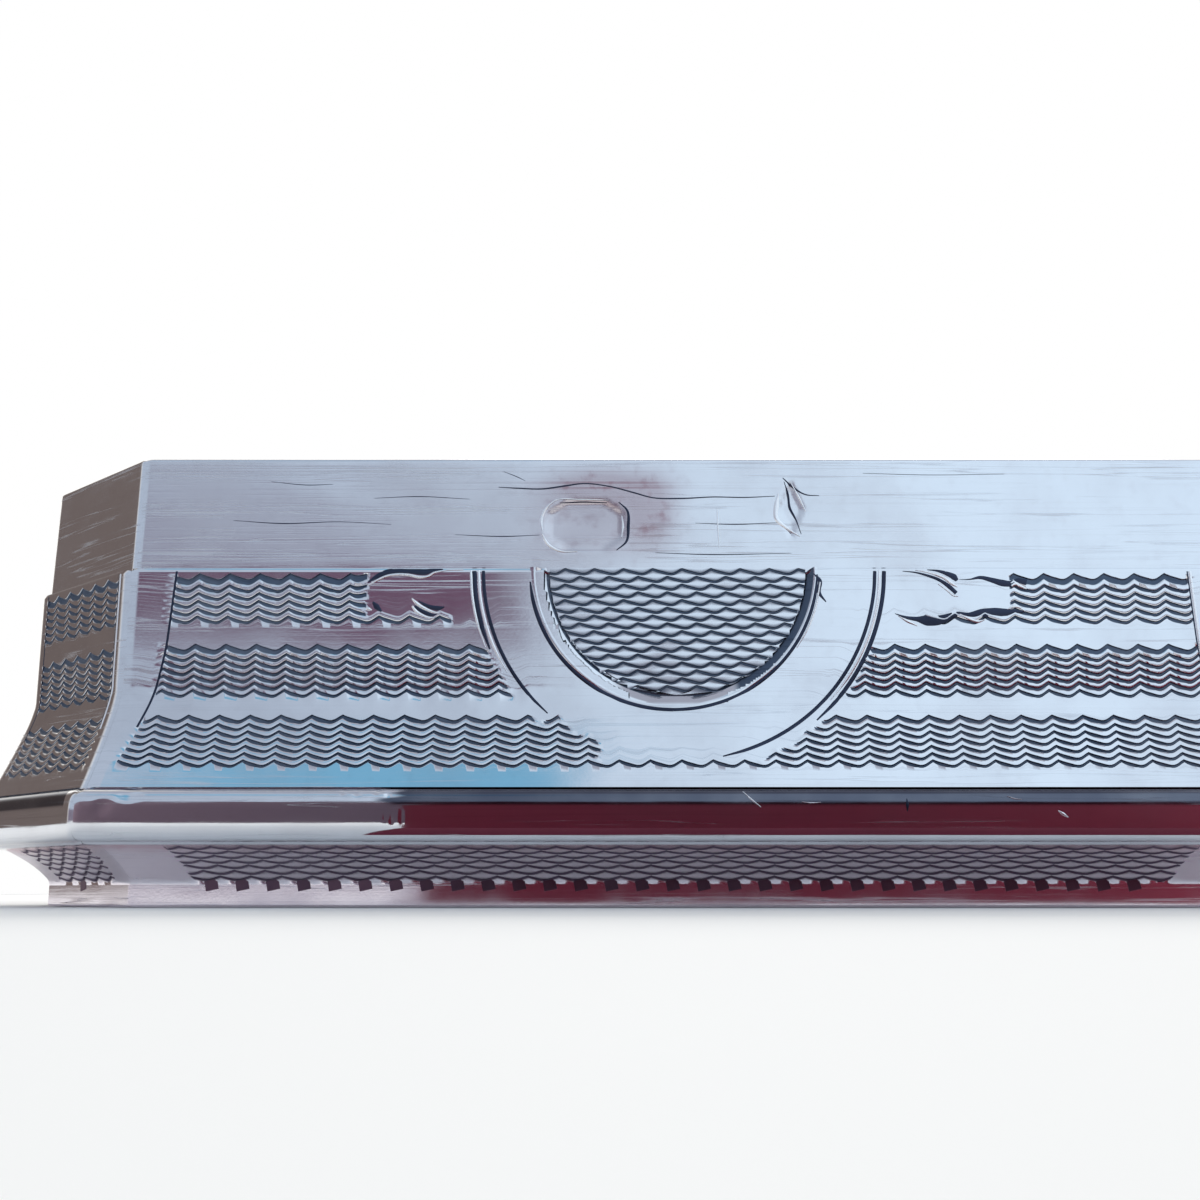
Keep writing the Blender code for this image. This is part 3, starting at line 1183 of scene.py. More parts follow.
BEZEL_SCORES = cuts(
    ((-8.3, 1.36, 0.03), (-7.4, 1.41, 0.06), (-6.3, 1.44, 0.07), (-5.3, 1.3, 0.08), (-4.5, 1.19, 0.06),
     (-3.4, 1.3, 0.06), (-2.1, 1.64, 0.07), (-1.4, 1.84, 0.06), (-0.1, 1.89, 0.07), (1.4, 1.82, 0.05),
     (2.9, 1.84, 0.05), (4.2, 1.78, 0.03)),
    ((-8.1, 0.62, 0.02), (-7.5, 0.86, 0.04), (-7.1, 1.06, 0.02)),
    ((-18.6, 1.1, 0.02), (-16.9, 1.26, 0.04), (-15.8, 1.22, 0.02)),
    ((-20.2, 2.92, 0.02), (-18.0, 3.06, 0.05), (-15.4, 2.98, 0.03), (-13.1, 3.1, 0.02)),
    ((-13.9, 1.88, 0.02), (-12.0, 1.8, 0.04), (-9.6, 1.92, 0.02)),
    ((-10.2, 3.58, 0.02), (-8.0, 3.66, 0.05), (-6.4, 3.6, 0.02)),
    ((0.6, 3.04, 0.02), (2.4, 3.1, 0.05), (4.3, 3.02, 0.02)),
    ((-1.2, 4.42, 0.02), (1.2, 4.5, 0.05), (4.9, 4.44, 0.02)),
    ((8.2, 0.7, 0.02), (11.0, 0.78, 0.03), (14.6, 0.74, 0.02)),
    ((-5.5, 2.1, 0.03), (-4.5, 2.05, 0.06), (-3.4, 2.09, 0.03)),
    ((-2.86, 2.06, 0.04), (-2.48, 2.44, 0.1), (-2.42, 3.2, 0.15), (-2.5, 3.9, 0.1), (-2.94, 4.3, 0.04)),
    ((4.56, 0.92, 0.04), (5.02, 1.36, 0.09), (5.56, 1.7, 0.06), (6.2, 1.76, 0.03)),
    ((4.62, 1.1, 0.03), (4.8, 1.7, 0.07), (4.86, 2.3, 0.1), (5.1, 2.8, 0.06), (5.36, 3.56, 0.03)),
) + burrs(
    ((1.58, 2.3, 0.03), (1.61, 3.1, 0.08), (1.66, 4.2, 0.03)),
    ((-6.28, 3.4, 0.05), (-6.34, 2.9, 0.13), (-6.18, 2.42, 0.11), (-5.74, 2.0, 0.07), (-4.6, 1.94, 0.07),
     (-3.3, 1.98, 0.04)),
    ((-6.28, 3.55, 0.06), (-6.02, 4.02, 0.14), (-5.52, 4.32, 0.12), (-4.7, 4.36, 0.05)),
    ((-2.72, 2.7, 0.04), (-2.66, 3.2, 0.1), (-2.72, 3.7, 0.04)),
    ((4.9, 1.12, 0.04), (5.3, 1.86, 0.1), (5.56, 2.48, 0.05)),
    ((4.36, 1.66, 0.06), (4.26, 2.2, 0.24), (4.26, 2.84, 0.2), (4.7, 3.26, 0.14), (5.3, 3.66, 0.05)),
)


ROUNDEL_HOOK = cuts(
    ((5.85, 0.3, 0.05), (6.12, 0.62, 0.19), (6.08, 1.15, 0.17), (6.38, 1.58, 0.05)),
)
WIRE_SCORES = cuts(
    ((9.4, 0.52, 0.03), (9.42, 0.78, 0.14), (9.4, 1.06, 0.03)),
) + burrs(
    ((2.55, 0.22, 0.03), (2.9, 0.55, 0.08), (3.3, 0.88, 0.03)),
    ((5.0, 0.66, 0.03), (5.45, 0.7, 0.06), (5.8, 0.68, 0.03)),
    ((15.7, 1.02, 0.04), (15.9, 1.16, 0.13), (16.1, 1.3, 0.04)),
    ((13.6, 0.42, 0.02), (13.9, 0.52, 0.05), (14.2, 0.56, 0.02)),
)


@dataclass(frozen=True)
class Cartouche:
    """The roundel in its plain ring, cut through its middle by the joint of the box.

    It was cut by eye: ring, outline and roundel each have a centre of their own along the joint. top is the
    joint's height.
    """

    top: float
    lines: tuple[float, float] = (0.00912, 0.00871)
    line_width: float = 0.00014
    ring_centre: float = -0.00013
    outline_centre: float = -0.00038
    roundel_centre: float = -0.00020
    outline: float = 0.00640
    rim: float = 0.00633
    bevel_out: float = 0.00622
    bevel_in: float = 0.00584
    roundel: float = 0.00568
    disc: float = 0.00570
    bevel_depth: float = 0.00016
    plate: float = 0.00012
    recess: float = 0.00030
    recess_reach: float = 0.00600
    proud: float = 0.000006
    clear: float = 0.0092
    clear_low: float = 0.0085
    calm_reach: float = 0.0006
    # Where the painted shade on the right side of the bevel starts, and over what angle it darkens.
    dark_start: float = math.radians(294)
    dark_reach: float = math.radians(10)
    low_start: float = math.radians(229)
    low_end: float = math.radians(247)
    left_reach: float = 0.0006
    field_end: float = 0.0146
    field_fall: float = 0.0020
    line_end: float = 0.0108
    line_fall: float = 0.0026
    unbroken_fall: float = 0.0086
    turns: ClassVar[int] = 121

    def _polar(self, along: Points, height: Points) -> tuple[Points, Points]:
        """Radius and angle of places on the wall, about the ring's centre on the joint.

        Args:
            along: places along the facet, from its middle.
            height: their heights above the floor.

        Returns:
            The radii and the angles.
        """
        fall = self.top - height
        across = along - self.ring_centre
        return np.hypot(across, fall), math.pi + np.arctan2(fall, -across)

    def keep_clear(self, along: Points, height: Points) -> Points:
        """A mask that stops the waves at the ring and at the flourishes beside it.

        Args:
            along: places along the facet, from its middle.
            height: their heights above the floor.

        Returns:
            1 where there are waves, 0 where there are none.
        """
        radius, angle = self._polar(along, height)
        low = (angle > self.low_start) & (angle < self.low_end)
        clear = radius > np.where(low, self.clear_low, self.clear)
        fall = self.top - height
        reach = np.abs(along) + (along < 0.0) * self.left_reach
        flourish = (reach < self.field_end) & (fall < self.field_fall)
        last_line = (reach < self.line_end) & (fall < self.line_fall)
        return ((clear & ~flourish & ~last_line) | (fall > self.unbroken_fall)).astype(float)

    def calm_within(self, along: Points, height: Points) -> Points:
        """How far the lines lie still in the ring and under the flourishes, so that none shows there.

        Args:
            along: places along the facet, from its middle.
            height: their heights above the floor.

        Returns:
            1 where the lines lie still, 0 where they swing.
        """
        radius, _ = self._polar(along, height)
        fall = self.top - height
        ring = np.clip((self.clear_low - radius) / self.calm_reach, 0.0, 1.0)
        beside = np.clip((self.field_end - np.abs(along)) / self.calm_reach, 0.0, 1.0)
        above = np.clip((self.field_fall - self.calm_reach / 2 - fall) / self.calm_reach, 0.0, 1.0)
        return np.maximum(ring, beside * above)

    def recess_at(self, along: Points, height: Points) -> Points:
        """The depth of the recess in the wall behind the roundel."""
        return self.recess * (self._polar(along, height)[0] < self.recess_reach)

    def bevel(self, facet: Facet, section: Section) -> SheetMesh:
        """The bevelled edge of the roundel, as a closed plate let into the wall.

        Its profile is given as (radius, depth, how dark it is cut).

        Args:
            facet: the facet of the wall.
            section: the wall's section on it.

        Returns:
            The plate.
        """
        angle = np.linspace(math.pi, math.tau, self.turns)
        deep = self.bevel_depth
        step = (self.bevel_in - self.roundel) / 3
        profile = [
            (self.roundel, deep * 1.3, 1.0),
            (self.roundel + step, deep * 1.5, 1.0),
            (self.bevel_in - step, deep * 1.3, 1.0),
            (self.bevel_in, deep, 0.0),
            (self.bevel_out - step * 2, deep * 0.15, 0.0),
            (self.bevel_out, -self.proud, 0.0),
            (self.rim, -self.proud, 0.0),
            (self.outline, self.plate / 4, 0.0),
        ]
        wide = np.ones_like(angle)
        radius, depth, cut = (np.array([row[i] for row in profile])[:, None] * wide for i in range(3))
        # Painted shade: the bevel is darkened on its right side, where it lies away from the light.
        bevel_shade = np.clip((angle - self.dark_start) / self.dark_reach, 0.0, 1.0) * (radius < self.bevel_out)
        cut = np.maximum(cut, bevel_shade)
        face, along, down = self._on_wall(radius, depth, angle, facet, section)
        ends = np.array([-1, 0])
        back, _, _ = self._on_wall(radius[ends], depth[ends] + self.plate, angle, facet, section)
        marks = {"along": along, "down": down, "cut": cut, "stain": np.zeros_like(along)}
        return SheetMesh(face, back, marks)

    def _on_wall(self, radius: Points, depth: Points, angle: Points, facet: Facet,
                 section: Section) -> tuple[Points, Points, Points]:
        """Polar places set on the wall, sunk by a depth.

        Args:
            radius: the places' radii.
            depth: how deep each is sunk.
            angle: their angles.
            facet: the facet of the wall.
            section: the wall's section on it.

        Returns:
            The points, and how far along and down they lie.
        """
        share = (radius - self.roundel) / (self.outline - self.roundel)
        centre = self.roundel_centre + (self.outline_centre - self.roundel_centre) * share
        along = centre + radius * np.cos(angle)
        top = section.points[0][1]
        down = section.down_at(top + radius * np.sin(angle))
        curve = section.at(down)
        heading = section.heading(down)
        offset = np.maximum(curve[..., 0], 0.0) + heading[..., 1] * depth
        height = curve[..., 1] - heading[..., 0] * depth
        return facet.place(along, offset, height), along, down

    def strokes(self) -> list[Stroke]:
        """The ring's double line and the roundel's outline, with the burrs that the graver left.

        Each arc is (centre, radius, start, end, share of the line's width), with its angles in degrees.

        Returns:
            The strokes, with the cuts first.
        """
        outer, inner = self.lines
        width = self.line_width
        between = (outer + inner) / 2
        ring = self.ring_centre
        edge = self.outline_centre
        cut_arcs = (
            (ring, outer, 180, 204, 1.6),
            (ring, inner, 180, 229, 1.15),
            (ring, outer, 360, 311, 1.35),
            (ring, inner, 360, 282.5, 1.15),
            (edge, self.outline, 270, 186, 1.35),
            (edge, self.outline, 270, 357, 1.25),
        )
        burr_arcs = (
            (ring, between, 181, 212, 0.9),
            (ring, outer + width, 181, 203, 0.8),
            (ring, between, 359, 318, 0.9),
            (edge, self.outline + width * 1.1, 354, 326, 0.6),
        )
        made = [Stroke.arc(*place, width * share) for *place, share in cut_arcs]
        made += ROUNDEL_HOOK
        made += [Stroke.arc(*place, width * share, raised=True) for *place, share in burr_arcs]
        return made


# Sub-assemblies


class Bench:
    """What all the makers share: the plan, the finishes' materials and the turning engine."""

    def __init__(self, plan: Plan) -> None:
        """Set up the turning engine and an empty rack of materials.

        Args:
            plan: the plan that all makers follow.
        """
        self.plan = plan
        self.engine = TurningEngine()
        self._rack: dict[str, bpy.types.Material] = {}

    def metal(self, finish: Union[SilverFinish, PlainFinish]) -> bpy.types.Material:
        """The material of a finish, made once.

        Args:
            finish: the finish.

        Returns:
            Its material.
        """
        if finish.name not in self._rack:
            self._rack[finish.name] = finish.material()
        return self._rack[finish.name]

    def hand_over(self, piece: bpy.types.Object, half: Half, slot: str,
                  replaces: Sequence[str] = ()) -> None:
        """Let a finished piece ride on its half and stand for its CAD nodes.

        Args:
            piece: the finished piece.
            half: the half that it rides on.
            slot: the name of its material's slot; not used.
            replaces: the CAD nodes that it stands for.
        """
        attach(piece, half.value)
        if replaces:
            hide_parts(*replaces)
        LOG.info("%s: %d faces", piece.name, len(piece.data.polygons))


@dataclass
class Part:
    """A sub-assembly of one half of the box, made at the bench."""

    bench: Bench
    half: Half
    slot: ClassVar[str]

    @property
    def plan(self) -> Plan:
        """The plan of the box."""
        return self.bench.plan

    def named(self, name: str) -> str:
        """A name that begins with the half's."""
        return f"{self.half.value}_{name}"

    def make(self, name: str, sheets: Sequence[SheetMesh], finish: SilverFinish,
             waves: Optional[Waves] = None, replaces: Sequence[str] = ()) -> None:
        """Make one piece of sheets, settle it on its half and hand it over.

        Args:
            name: the piece's name.
            sheets: what it is made of, as on the base.
            finish: its silver.
            waves: the setting of the turning engine, for a piece that goes through it.
            replaces: the CAD nodes that it stands for.
        """
        piece = object_from_sheets(name, [sheet.settled(self.plan, self.half) for sheet in sheets])
        metal = self.bench.metal(finish)
        if waves:
            self.bench.engine.run(piece, waves, metal)
        else:
            piece.data.materials.append(metal)
        self.bench.hand_over(piece, self.half, self.slot, replaces)

    def engrave(self, name: str, work: Sequence[tuple[Facet, Section, Stroke]]) -> None:
        """Make the dark cuts and the bright burrs of some strokes, a piece of each.

        Args:
            name: the name that both pieces share.
            work: each stroke with the facet and the section that it lies on.
        """
        for raised, finish, kind in ((False, LINE_TARNISH, "cuts"), (True, BURR_SILVER, "burrs")):
            sheets = [stroke.sheet(facet, section) for facet, section, stroke in work
                      if stroke.raised is raised]
            self.make(self.named(f"{name}_{kind}"), sheets, finish)


@dataclass
class Wall(Part):
    """The waisted side wall of one half, with three bands of waves and the cartouche on its front.

    A band is (where it starts, its grooves, their spacing, how much wider the first is).
    """

    slot: ClassVar[str] = "flank"
    flare: float = 0.0016
    flare_height: float = 0.0046
    bend_share: float = 0.2
    sheet: float = 0.0003
    lip: float = 0.00020
    lip_share: float = 0.3
    waves: Waves = Waves()
    bands: tuple[tuple[float, int, float, float], ...] = (
        (0.00053, 6, 0.00035, 0.00016),
        (0.00368, 7, 0.000319, 0.00010),
        (0.00687, 7, 0.00035, 0.00005),
    )
    gap_shares: tuple[float, float] = (0.5, 0.9)
    room_share: float = 1.15
    foot_rows: int = 5
    margin_falls: tuple[float, ...] = (0.0, 0.0035, 0.0067, 0.0089)
    wide_margins: tuple[float, ...] = (0.0022, 0.00195, 0.0014, 0.0009)
    cant_margin: float = 0.0010
    mitre_round: float = 0.0016
    line_end: float = 0.0072
    line_width: float = 0.00013
    line_knots: int = 7
    cut_shift: float = 0.4
    burr_shift: float = 1.3
    flare_rows: int = 40
    front_steps: int = 12
    rear_steps: int = 7
    roundel_waves: Waves = Waves(pitch=0.00130, swing=0.000225, fin=0.0, depth=0.00005, groove=0.00012,
                                 profile_shares=SCALE_PROFILE)
    roundel_spacing: float = 0.00035
    roundel_start: float = 0.6

    @property
    def cartouche(self) -> Cartouche:
        """The cartouche on the front."""
        return Cartouche(self.plan.mouth)

    def section(self, inwards: float = 0.0) -> Section:
        """The wall's face with its eased lip, or its inner side at a distance inwards.

        Args:
            inwards: how far in the inner side lies, or 0 for the face.

        Returns:
            The section, from the mouth down.
        """
        plan = self.plan
        low = plan.wall_foot
        high = low + self.flare_height
        bend = high - self.flare_height * self.bend_share
        points = [(-inwards, plan.mouth)]
        if not inwards:
            ease = self.lip * self.lip_share
            points = [(-self.lip, plan.mouth), (-ease, plan.mouth - ease), (0.0, plan.mouth - self.lip)]
        for t in np.linspace(0.0, 1.0, self.flare_rows):
            height = (1 - t) ** 2 * high + 2 * t * (1 - t) * bend + t**2 * low
            rise = 2 * (1 - t) * (high - bend) + 2 * t * (bend - low)
            slope = math.atan2(2 * self.flare * t, rise)
            points.append((self.flare * t**2 - inwards / math.cos(slope), height))
        return Section(tuple(points))

    def margin(self, side: Side, falls: Points) -> Points:
        """How far the fields of a side keep from the mitre, at each fall below the mouth.

        Args:
            side: the side.
            falls: distances below the mouth.

        Returns:
            The margin at each of them.
        """
        if side.canted:
            return np.full_like(falls, self.cant_margin)
        return np.interp(falls, self.margin_falls, self.wide_margins)

    def rows(self, section: Section) -> list[Row]:
        """The rows of the three bands and of the plain strips between them.

        Args:
            section: the section of the wall's face.

        Returns:
            The rows, from the top down.
        """
        rows = [Row(float(down)) for down in section.runs[:3]]
        for start, lines, spacing, head in self.bands:
            band = self.waves.band(start, lines, spacing, head)
            gap = band[0].down - rows[-1].down
            rows += [Row(rows[-1].down + gap * share) for share in self.gap_shares]
            rows += band
            rows.append(Row(rows[-1].down + self.waves.room_below() * self.room_share))
        foot = np.linspace(rows[-1].down, section.length, self.foot_rows)
        return rows + [Row(float(down)) for down in foot[1:]]

    def strip(self, side: Side) -> Strip:
        """The turned strip on one side.

        Args:
            side: the side.

        Returns:
            Its strip.
        """
        section = self.section()
        fine = side in FRONT_SIDES and self.half is Half.BASE
        rows = self.rows(section)
        heights = section.at(np.array([row.down for row in rows]))[:, 1]
        cartouche = self.cartouche
        masks = {"mask": cartouche.keep_clear, "calm": cartouche.calm_within, "dent": cartouche.recess_at}
        return Strip(
            facet=self.plan.facet(side),
            section=section,
            rows=rows,
            backing=self.section(self.sheet),
            backing_rows=8,
            margin=self.margin(side, self.plan.mouth - heights),
            mitre_round=self.mitre_round,
            steps=self.front_steps if fine else self.rear_steps,
            pitch=self.waves.pitch,
            **(masks if side is Side.FRONT else {}),
        )

    def build(self) -> None:
        """Make the wall in a front and a rear piece, then the cartouche and the engraved lines."""
        for name, sides in (("front", FRONT_SIDES), ("rear", REAR_SIDES)):
            sheets = [self.strip(side).sheet() for side in sides]
            self.make(self.named(f"wall_{name}"), sheets, FLANK_SILVER, self.waves, [self.named("wall")])
        bevel = self.cartouche.bevel(self.plan.facet(Side.FRONT), self.section())
        self.make(self.named("roundel_edge"), [bevel], FLANK_SILVER)
        self.make(self.named("roundel"), [self._disc().sheet()], FLANK_SILVER, self.roundel_waves)
        self._engrave()

    def _disc(self) -> DiscStrip:
        """The scaled half disc, sunk by the bevel's depth.

        Returns:
            The disc.
        """
        plan = self.plan
        cartouche = self.cartouche
        radius = cartouche.disc
        waves = self.roundel_waves
        first = waves.groove * self.roundel_start
        lines = int((radius - first - waves.room_below()) / self.roundel_spacing) + 1
        band = waves.band(first, lines, self.roundel_spacing, alternate=True)
        rows = [Row(0.0), *band, Row(radius)]
        sections = []
        for depth in (cartouche.bevel_depth, cartouche.bevel_depth + cartouche.plate / 2):
            sections.append(Section(((-depth, plan.mouth), (-depth, plan.mouth - radius))))
        return DiscStrip(
            facet=plan.facet(Side.FRONT),
            section=sections[0],
            rows=rows,
            backing=sections[1],
            backing_rows=12,
            margin=0.0005,
            steps=1,
            pitch=waves.pitch,
            radius=radius,
            centre=cartouche.roundel_centre,
        )

    def _engrave(self) -> None:
        """The flourishes, the ring's lines, and the line at each end of every field."""
        plan = self.plan
        section = self.section()
        front = plan.facet(Side.FRONT)
        strokes = [*LEFT_FLOURISH, *RIGHT_FLOURISH, *self.cartouche.strokes()]
        work = [(front, section, stroke) for stroke in strokes]
        falls = np.linspace(self.lip, self.line_end, self.line_knots)
        offsets = section.at(section.down_at(plan.mouth - falls))[:, 0]
        for side in Side:
            facet = plan.facet(side)
            ends = facet.reach(offsets) - self.margin(side, falls)
            for middles, share, raised in ((-ends, 0.8, False), (ends, 0.5, False), (ends, 1.1, True)):
                width = self.line_width * share
                shift = self.line_width * (self.burr_shift if raised else self.cut_shift)
                shifted = middles + np.sign(middles) * shift
                places = tuple((x, fall, width) for x, fall in zip(shifted, falls))
                work.append((facet, section, Stroke(places, raised)))
        self.engrave("wall", work)


@dataclass
class Wire(Part):
    """The half-round wire round the foot of a wall.

    waver gives the ragged edge of the painted shade on its top as (reach, turns to the metre). A knock is
    (along, height, half width, half height, depth) in millimetres.
    """

    slot: ClassVar[str] = "wire"
    reach: float = 0.0006
    seat: float = 0.0016
    tuck: float = 0.0001
    fullness: float = 3.0
    steps: int = 36
    knocked_steps: int = 16
    # Where the painted shade on the wire's top begins and fades, in height and along the front.
    shade_height: float = 0.00422
    shade_fade: float = 0.00012
    shade_start: float = -0.0122
    shade_reach: float = 0.0008
    waver: tuple[tuple[float, float], ...] = ((0.0004, 9.0e3), (0.0003, 2.3e4))
    knocks: tuple[tuple[float, float, float, float, float], ...] = (
        (-24.2, 4.15, 0.35, 0.25, 0.05),
        (-23.2, 4.65, 0.45, 0.25, 0.06),
        (-14.2, 4.75, 0.10, 0.14, 0.03),
        (-13.6, 4.72, 0.16, 0.16, 0.03),
        (-12.8, 4.78, 0.12, 0.12, 0.03),
        (-12.3, 4.65, 0.13, 0.16, 0.03),
        (-12.4, 3.70, 0.07, 0.11, 0.016),
        (-12.1, 3.55, 0.09, 0.09, 0.018),
        (-11.7, 3.68, 0.06, 0.13, 0.015),
        (-17.5, 3.85, 0.10, 0.10, 0.05),
    )
    knock_power: float = 1.5

    def build(self) -> None:
        """Make the wire, mitred at each corner and closed up to the wall and the panel."""
        plan = self.plan
        low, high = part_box(self.named("wire"))
        base_low, base_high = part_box("base_wire")
        flare = base_high.x - plan.half_width - self.reach
        top = plan.wall_foot
        crown = min(high.z, top)
        bottom = low.z - plan.seam / 2
        middle = (low.z + crown) / 2
        radius = (crown - low.z) / 2
        share = 2 / self.fullness
        arc = []
        for turn in np.linspace(math.pi / 2, -math.pi / 2, self.steps):
            across = abs(math.cos(turn)) ** share
            rise = math.copysign(abs(math.sin(turn)) ** share, math.sin(turn))
            arc.append((flare + self.reach * across, middle + radius * rise))
        neck = flare - self.tuck
        face = Section(((neck - self.tuck, top), (neck, crown), *arc, (neck, bottom)))
        backing = Section(((flare - self.seat, top), (flare - self.seat, bottom)))
        heights = face.at(face.runs)[:, 1] - (low.z - base_low.z)
        # Painted shade: rows above the shade height are darkened on every side, and at the front only right
        # of a ragged edge.
        shades = np.clip((heights - self.shade_height) / self.shade_fade + 0.5, 0.0, 1.0)
        rows = [Row(float(down), cut=float(shade)) for down, shade in zip(face.runs, shades)]
        strips = [Strip(plan.facet(side), face, rows, backing) for side in Side]
        front = strips[Side.FRONT.value]
        front.mask = self._shaded
        if self.half is Half.BASE:
            front.dent = self._knocks
            front.steps = self.knocked_steps
        sheets = [strip.sheet() for strip in strips]
        self.make(self.named("wire_round"), sheets, WIRE_SILVER_SHADED, Waves(), [self.named("wire")])
        if self.half is Half.BASE:
            self.engrave("wire", [(front.facet, face, stroke) for stroke in WIRE_SCORES])

    def _shaded(self, along: Points, height: Points) -> Points:
        """Where the painted shade lies on the top of the front wire, from a ragged edge rightwards."""
        ragged = sum(reach * np.sin(height * turns) for reach, turns in self.waver)
        return np.clip((along - self.shade_start + ragged) / self.shade_reach + 0.5, 0.0, 1.0)

    def _knocks(self, along: Points, height: Points) -> Points:
        """How deep the knocks are.

        Args:
            along: places along the facet, from its middle.
            height: their heights above the floor.

        Returns:
            The depth at each place.
        """
        depth = np.zeros_like(along)
        for x, z, wide, tall, deep in self.knocks:
            far = ((along * PER_MILLIMETRE - x) / wide) ** 2 + ((height * PER_MILLIMETRE - z) / tall) ** 2
            depth += deep * MILLIMETRE * np.exp(-(far**self.knock_power))
        return depth


@dataclass
class Panel(Part):
    """The raised panel of one half: a scaled cove, a plain border and a turned flat with a plain reserve."""

    slot: ClassVar[str] = "panel"
    sheet: float = 0.0006
    rim_reach: float = 0.0008
    rim_width: float = 0.0008
    inset: float = 0.00125
    border_height: float = 0.00115
    sag: float = 0.00022
    edge_round: float = 0.00007
    mitre_round: float = 0.0003
    # How the painted brown shade on the cove just under the wire fades downwards, and how strong it is at
    # the top.
    bloom_fade: float = 0.0003
    bloom_share: float = 1.4
    cove_steps: int = 8
    cove_rows: int = 24
    edge_rows: int = 5
    plain_rows: int = 16
    plain_share: float = 1.1
    cove_waves: Waves = Waves(swing=0.00020, fin=0.0, depth=0.00005, groove=0.000135, skew=0.03,
                              profile_shares=SCALE_PROFILE)
    cove_start: float = 0.00034
    cove_lines: int = 7
    cove_spacing: float = 0.00034
    flat_waves: Waves = Waves(swing=0.00026, fin=0.0, depth=0.00006, groove=0.00018)
    flat_spacing: float = 0.00052
    flat_steps: int = 6
    reserve_width: float = 1.45
    margin: float = 0.0028
    reserve: float = 0.0062
    reserve_line: float = 0.00016

    @property
    def node(self) -> str:
        """The CAD node of the panel."""
        return "base_bottom" if self.half is Half.BASE else "lid_top"

    def _cove_section(self, top: float) -> Section:
        """The face from the rim down the cove and the border, round the edge to the underside.

        Args:
            top: the height of the rim.

        Returns:
            The section, from the rim down.
        """
        foot = -self.inset
        points = []
        for t in np.linspace(1.0, 0.0, self.cove_rows):
            offset = foot + (self.rim_reach - foot) * t - self.sag * math.sin(math.pi * t)
            points.append((offset, self.border_height + (top - self.border_height) * t))
        edge = self.edge_round
        for turn in np.linspace(0.0, math.pi / 2, self.edge_rows):
            points.append((foot - edge + edge * math.cos(turn), edge - edge * math.sin(turn)))
        points.append((foot - self.rim_width, 0.0))
        return Section(tuple(points))

    def build(self) -> None:
        """Make the cove, the fringe of painted shadows under its scales and the flat."""
        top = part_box(self.named("wire"))[0].z
        section = self._cove_section(top)
        waves = self.cove_waves
        inner_foot = -self.inset - self.rim_width
        behind = (
            (self.rim_reach - self.rim_width, top),
            (inner_foot, self.border_height),
            (inner_foot, self.sheet),
            (inner_foot, self.edge_round),
        )
        rows = [Row(0.0), *waves.band(self.cove_start, self.cove_lines, self.cove_spacing, alternate=True)]
        plain = rows[-1].down + waves.swing * self.plain_share
        rows += [Row(float(down)) for down in np.linspace(plain, section.length, self.plain_rows)]

        def bloom(along: Points, height: Points) -> Points:
            """How strongly the painted brown shade under the wire shows at each place."""
            return np.clip((height - top) / self.bloom_fade + self.bloom_share, 0.0, 1.0)

        sheets = [
            Strip(
                facet=self.plan.facet(side),
                section=section,
                rows=rows,
                backing=Section(behind),
                backing_rows=6,
                margin=self.margin / 2 if side.canted else self.margin,
                steps=self.cove_steps,
                pitch=waves.pitch,
                stain=bloom,
                mitre_round=self.mitre_round,
            ).sheet()
            for side in Side
        ]
        self.make(self.named("cove"), sheets, COVE_SILVER_LIGHTENED, waves, [self.node])
        self._build_flat()
        brow = float(section.down_at(np.array(self.border_height)))
        Fringe(self.bench, self.half, section, brow, waves.pitch, self.margin).build()

    def _build_flat(self) -> None:
        """The flat of the panel, turned on its outer side and plain within."""
        plan = self.plan
        offset = -self.inset - self.rim_width + self.edge_round
        half_width = plan.half_width + offset
        half_depth = plan.half_depth + offset
        cant_line = plan.half_width + plan.half_depth - plan.cant + offset * math.sqrt(2)
        waves = self.flat_waves
        lines = int((half_depth - self.margin) * 2 / self.flat_spacing) - 1
        band = waves.band(-lines / 2 * self.flat_spacing, lines, self.flat_spacing, alternate=True)
        rows = [Row(-half_depth), *band, Row(half_depth)]
        down = np.array([row.down for row in rows])
        reach = np.minimum(half_width, cant_line - np.abs(down))[:, None]
        share = np.linspace(-1.0, 1.0, int(2 * half_width / waves.pitch * self.flat_steps))
        along = np.concatenate([-reach, share * (reach - self.margin), reach], axis=1)
        whole = np.ones_like(along)
        wide = down[:, None] * whole
        face = np.stack([along, wide, whole * 0.0], axis=-1)
        radius = np.hypot(along / self.reserve_width, wide)
        within = np.abs(along) < reach - self.margin / 2
        line = (radius > self.reserve - self.reserve_line) & (radius < self.reserve)
        marks = row_marks(rows, along, wide, within, within & (radius > self.reserve))
        for name in ("depth", "cut"):
            marks[name] = np.maximum(marks[name], line)
        marks["stain"] = whole * 0.0
        for name, aim in zip(AIMS, ((0.0, 1.0, 0.0), (0.0, 0.0, -1.0))):
            marks[name] = whole[..., None] * np.array(aim)
        sheet = SheetMesh(face, face[[-1, 0]] + np.array([0.0, 0.0, self.sheet]), marks)
        self.make(self.named("flat"), [sheet], COVE_SILVER_LIGHTENED, waves, [self.node])


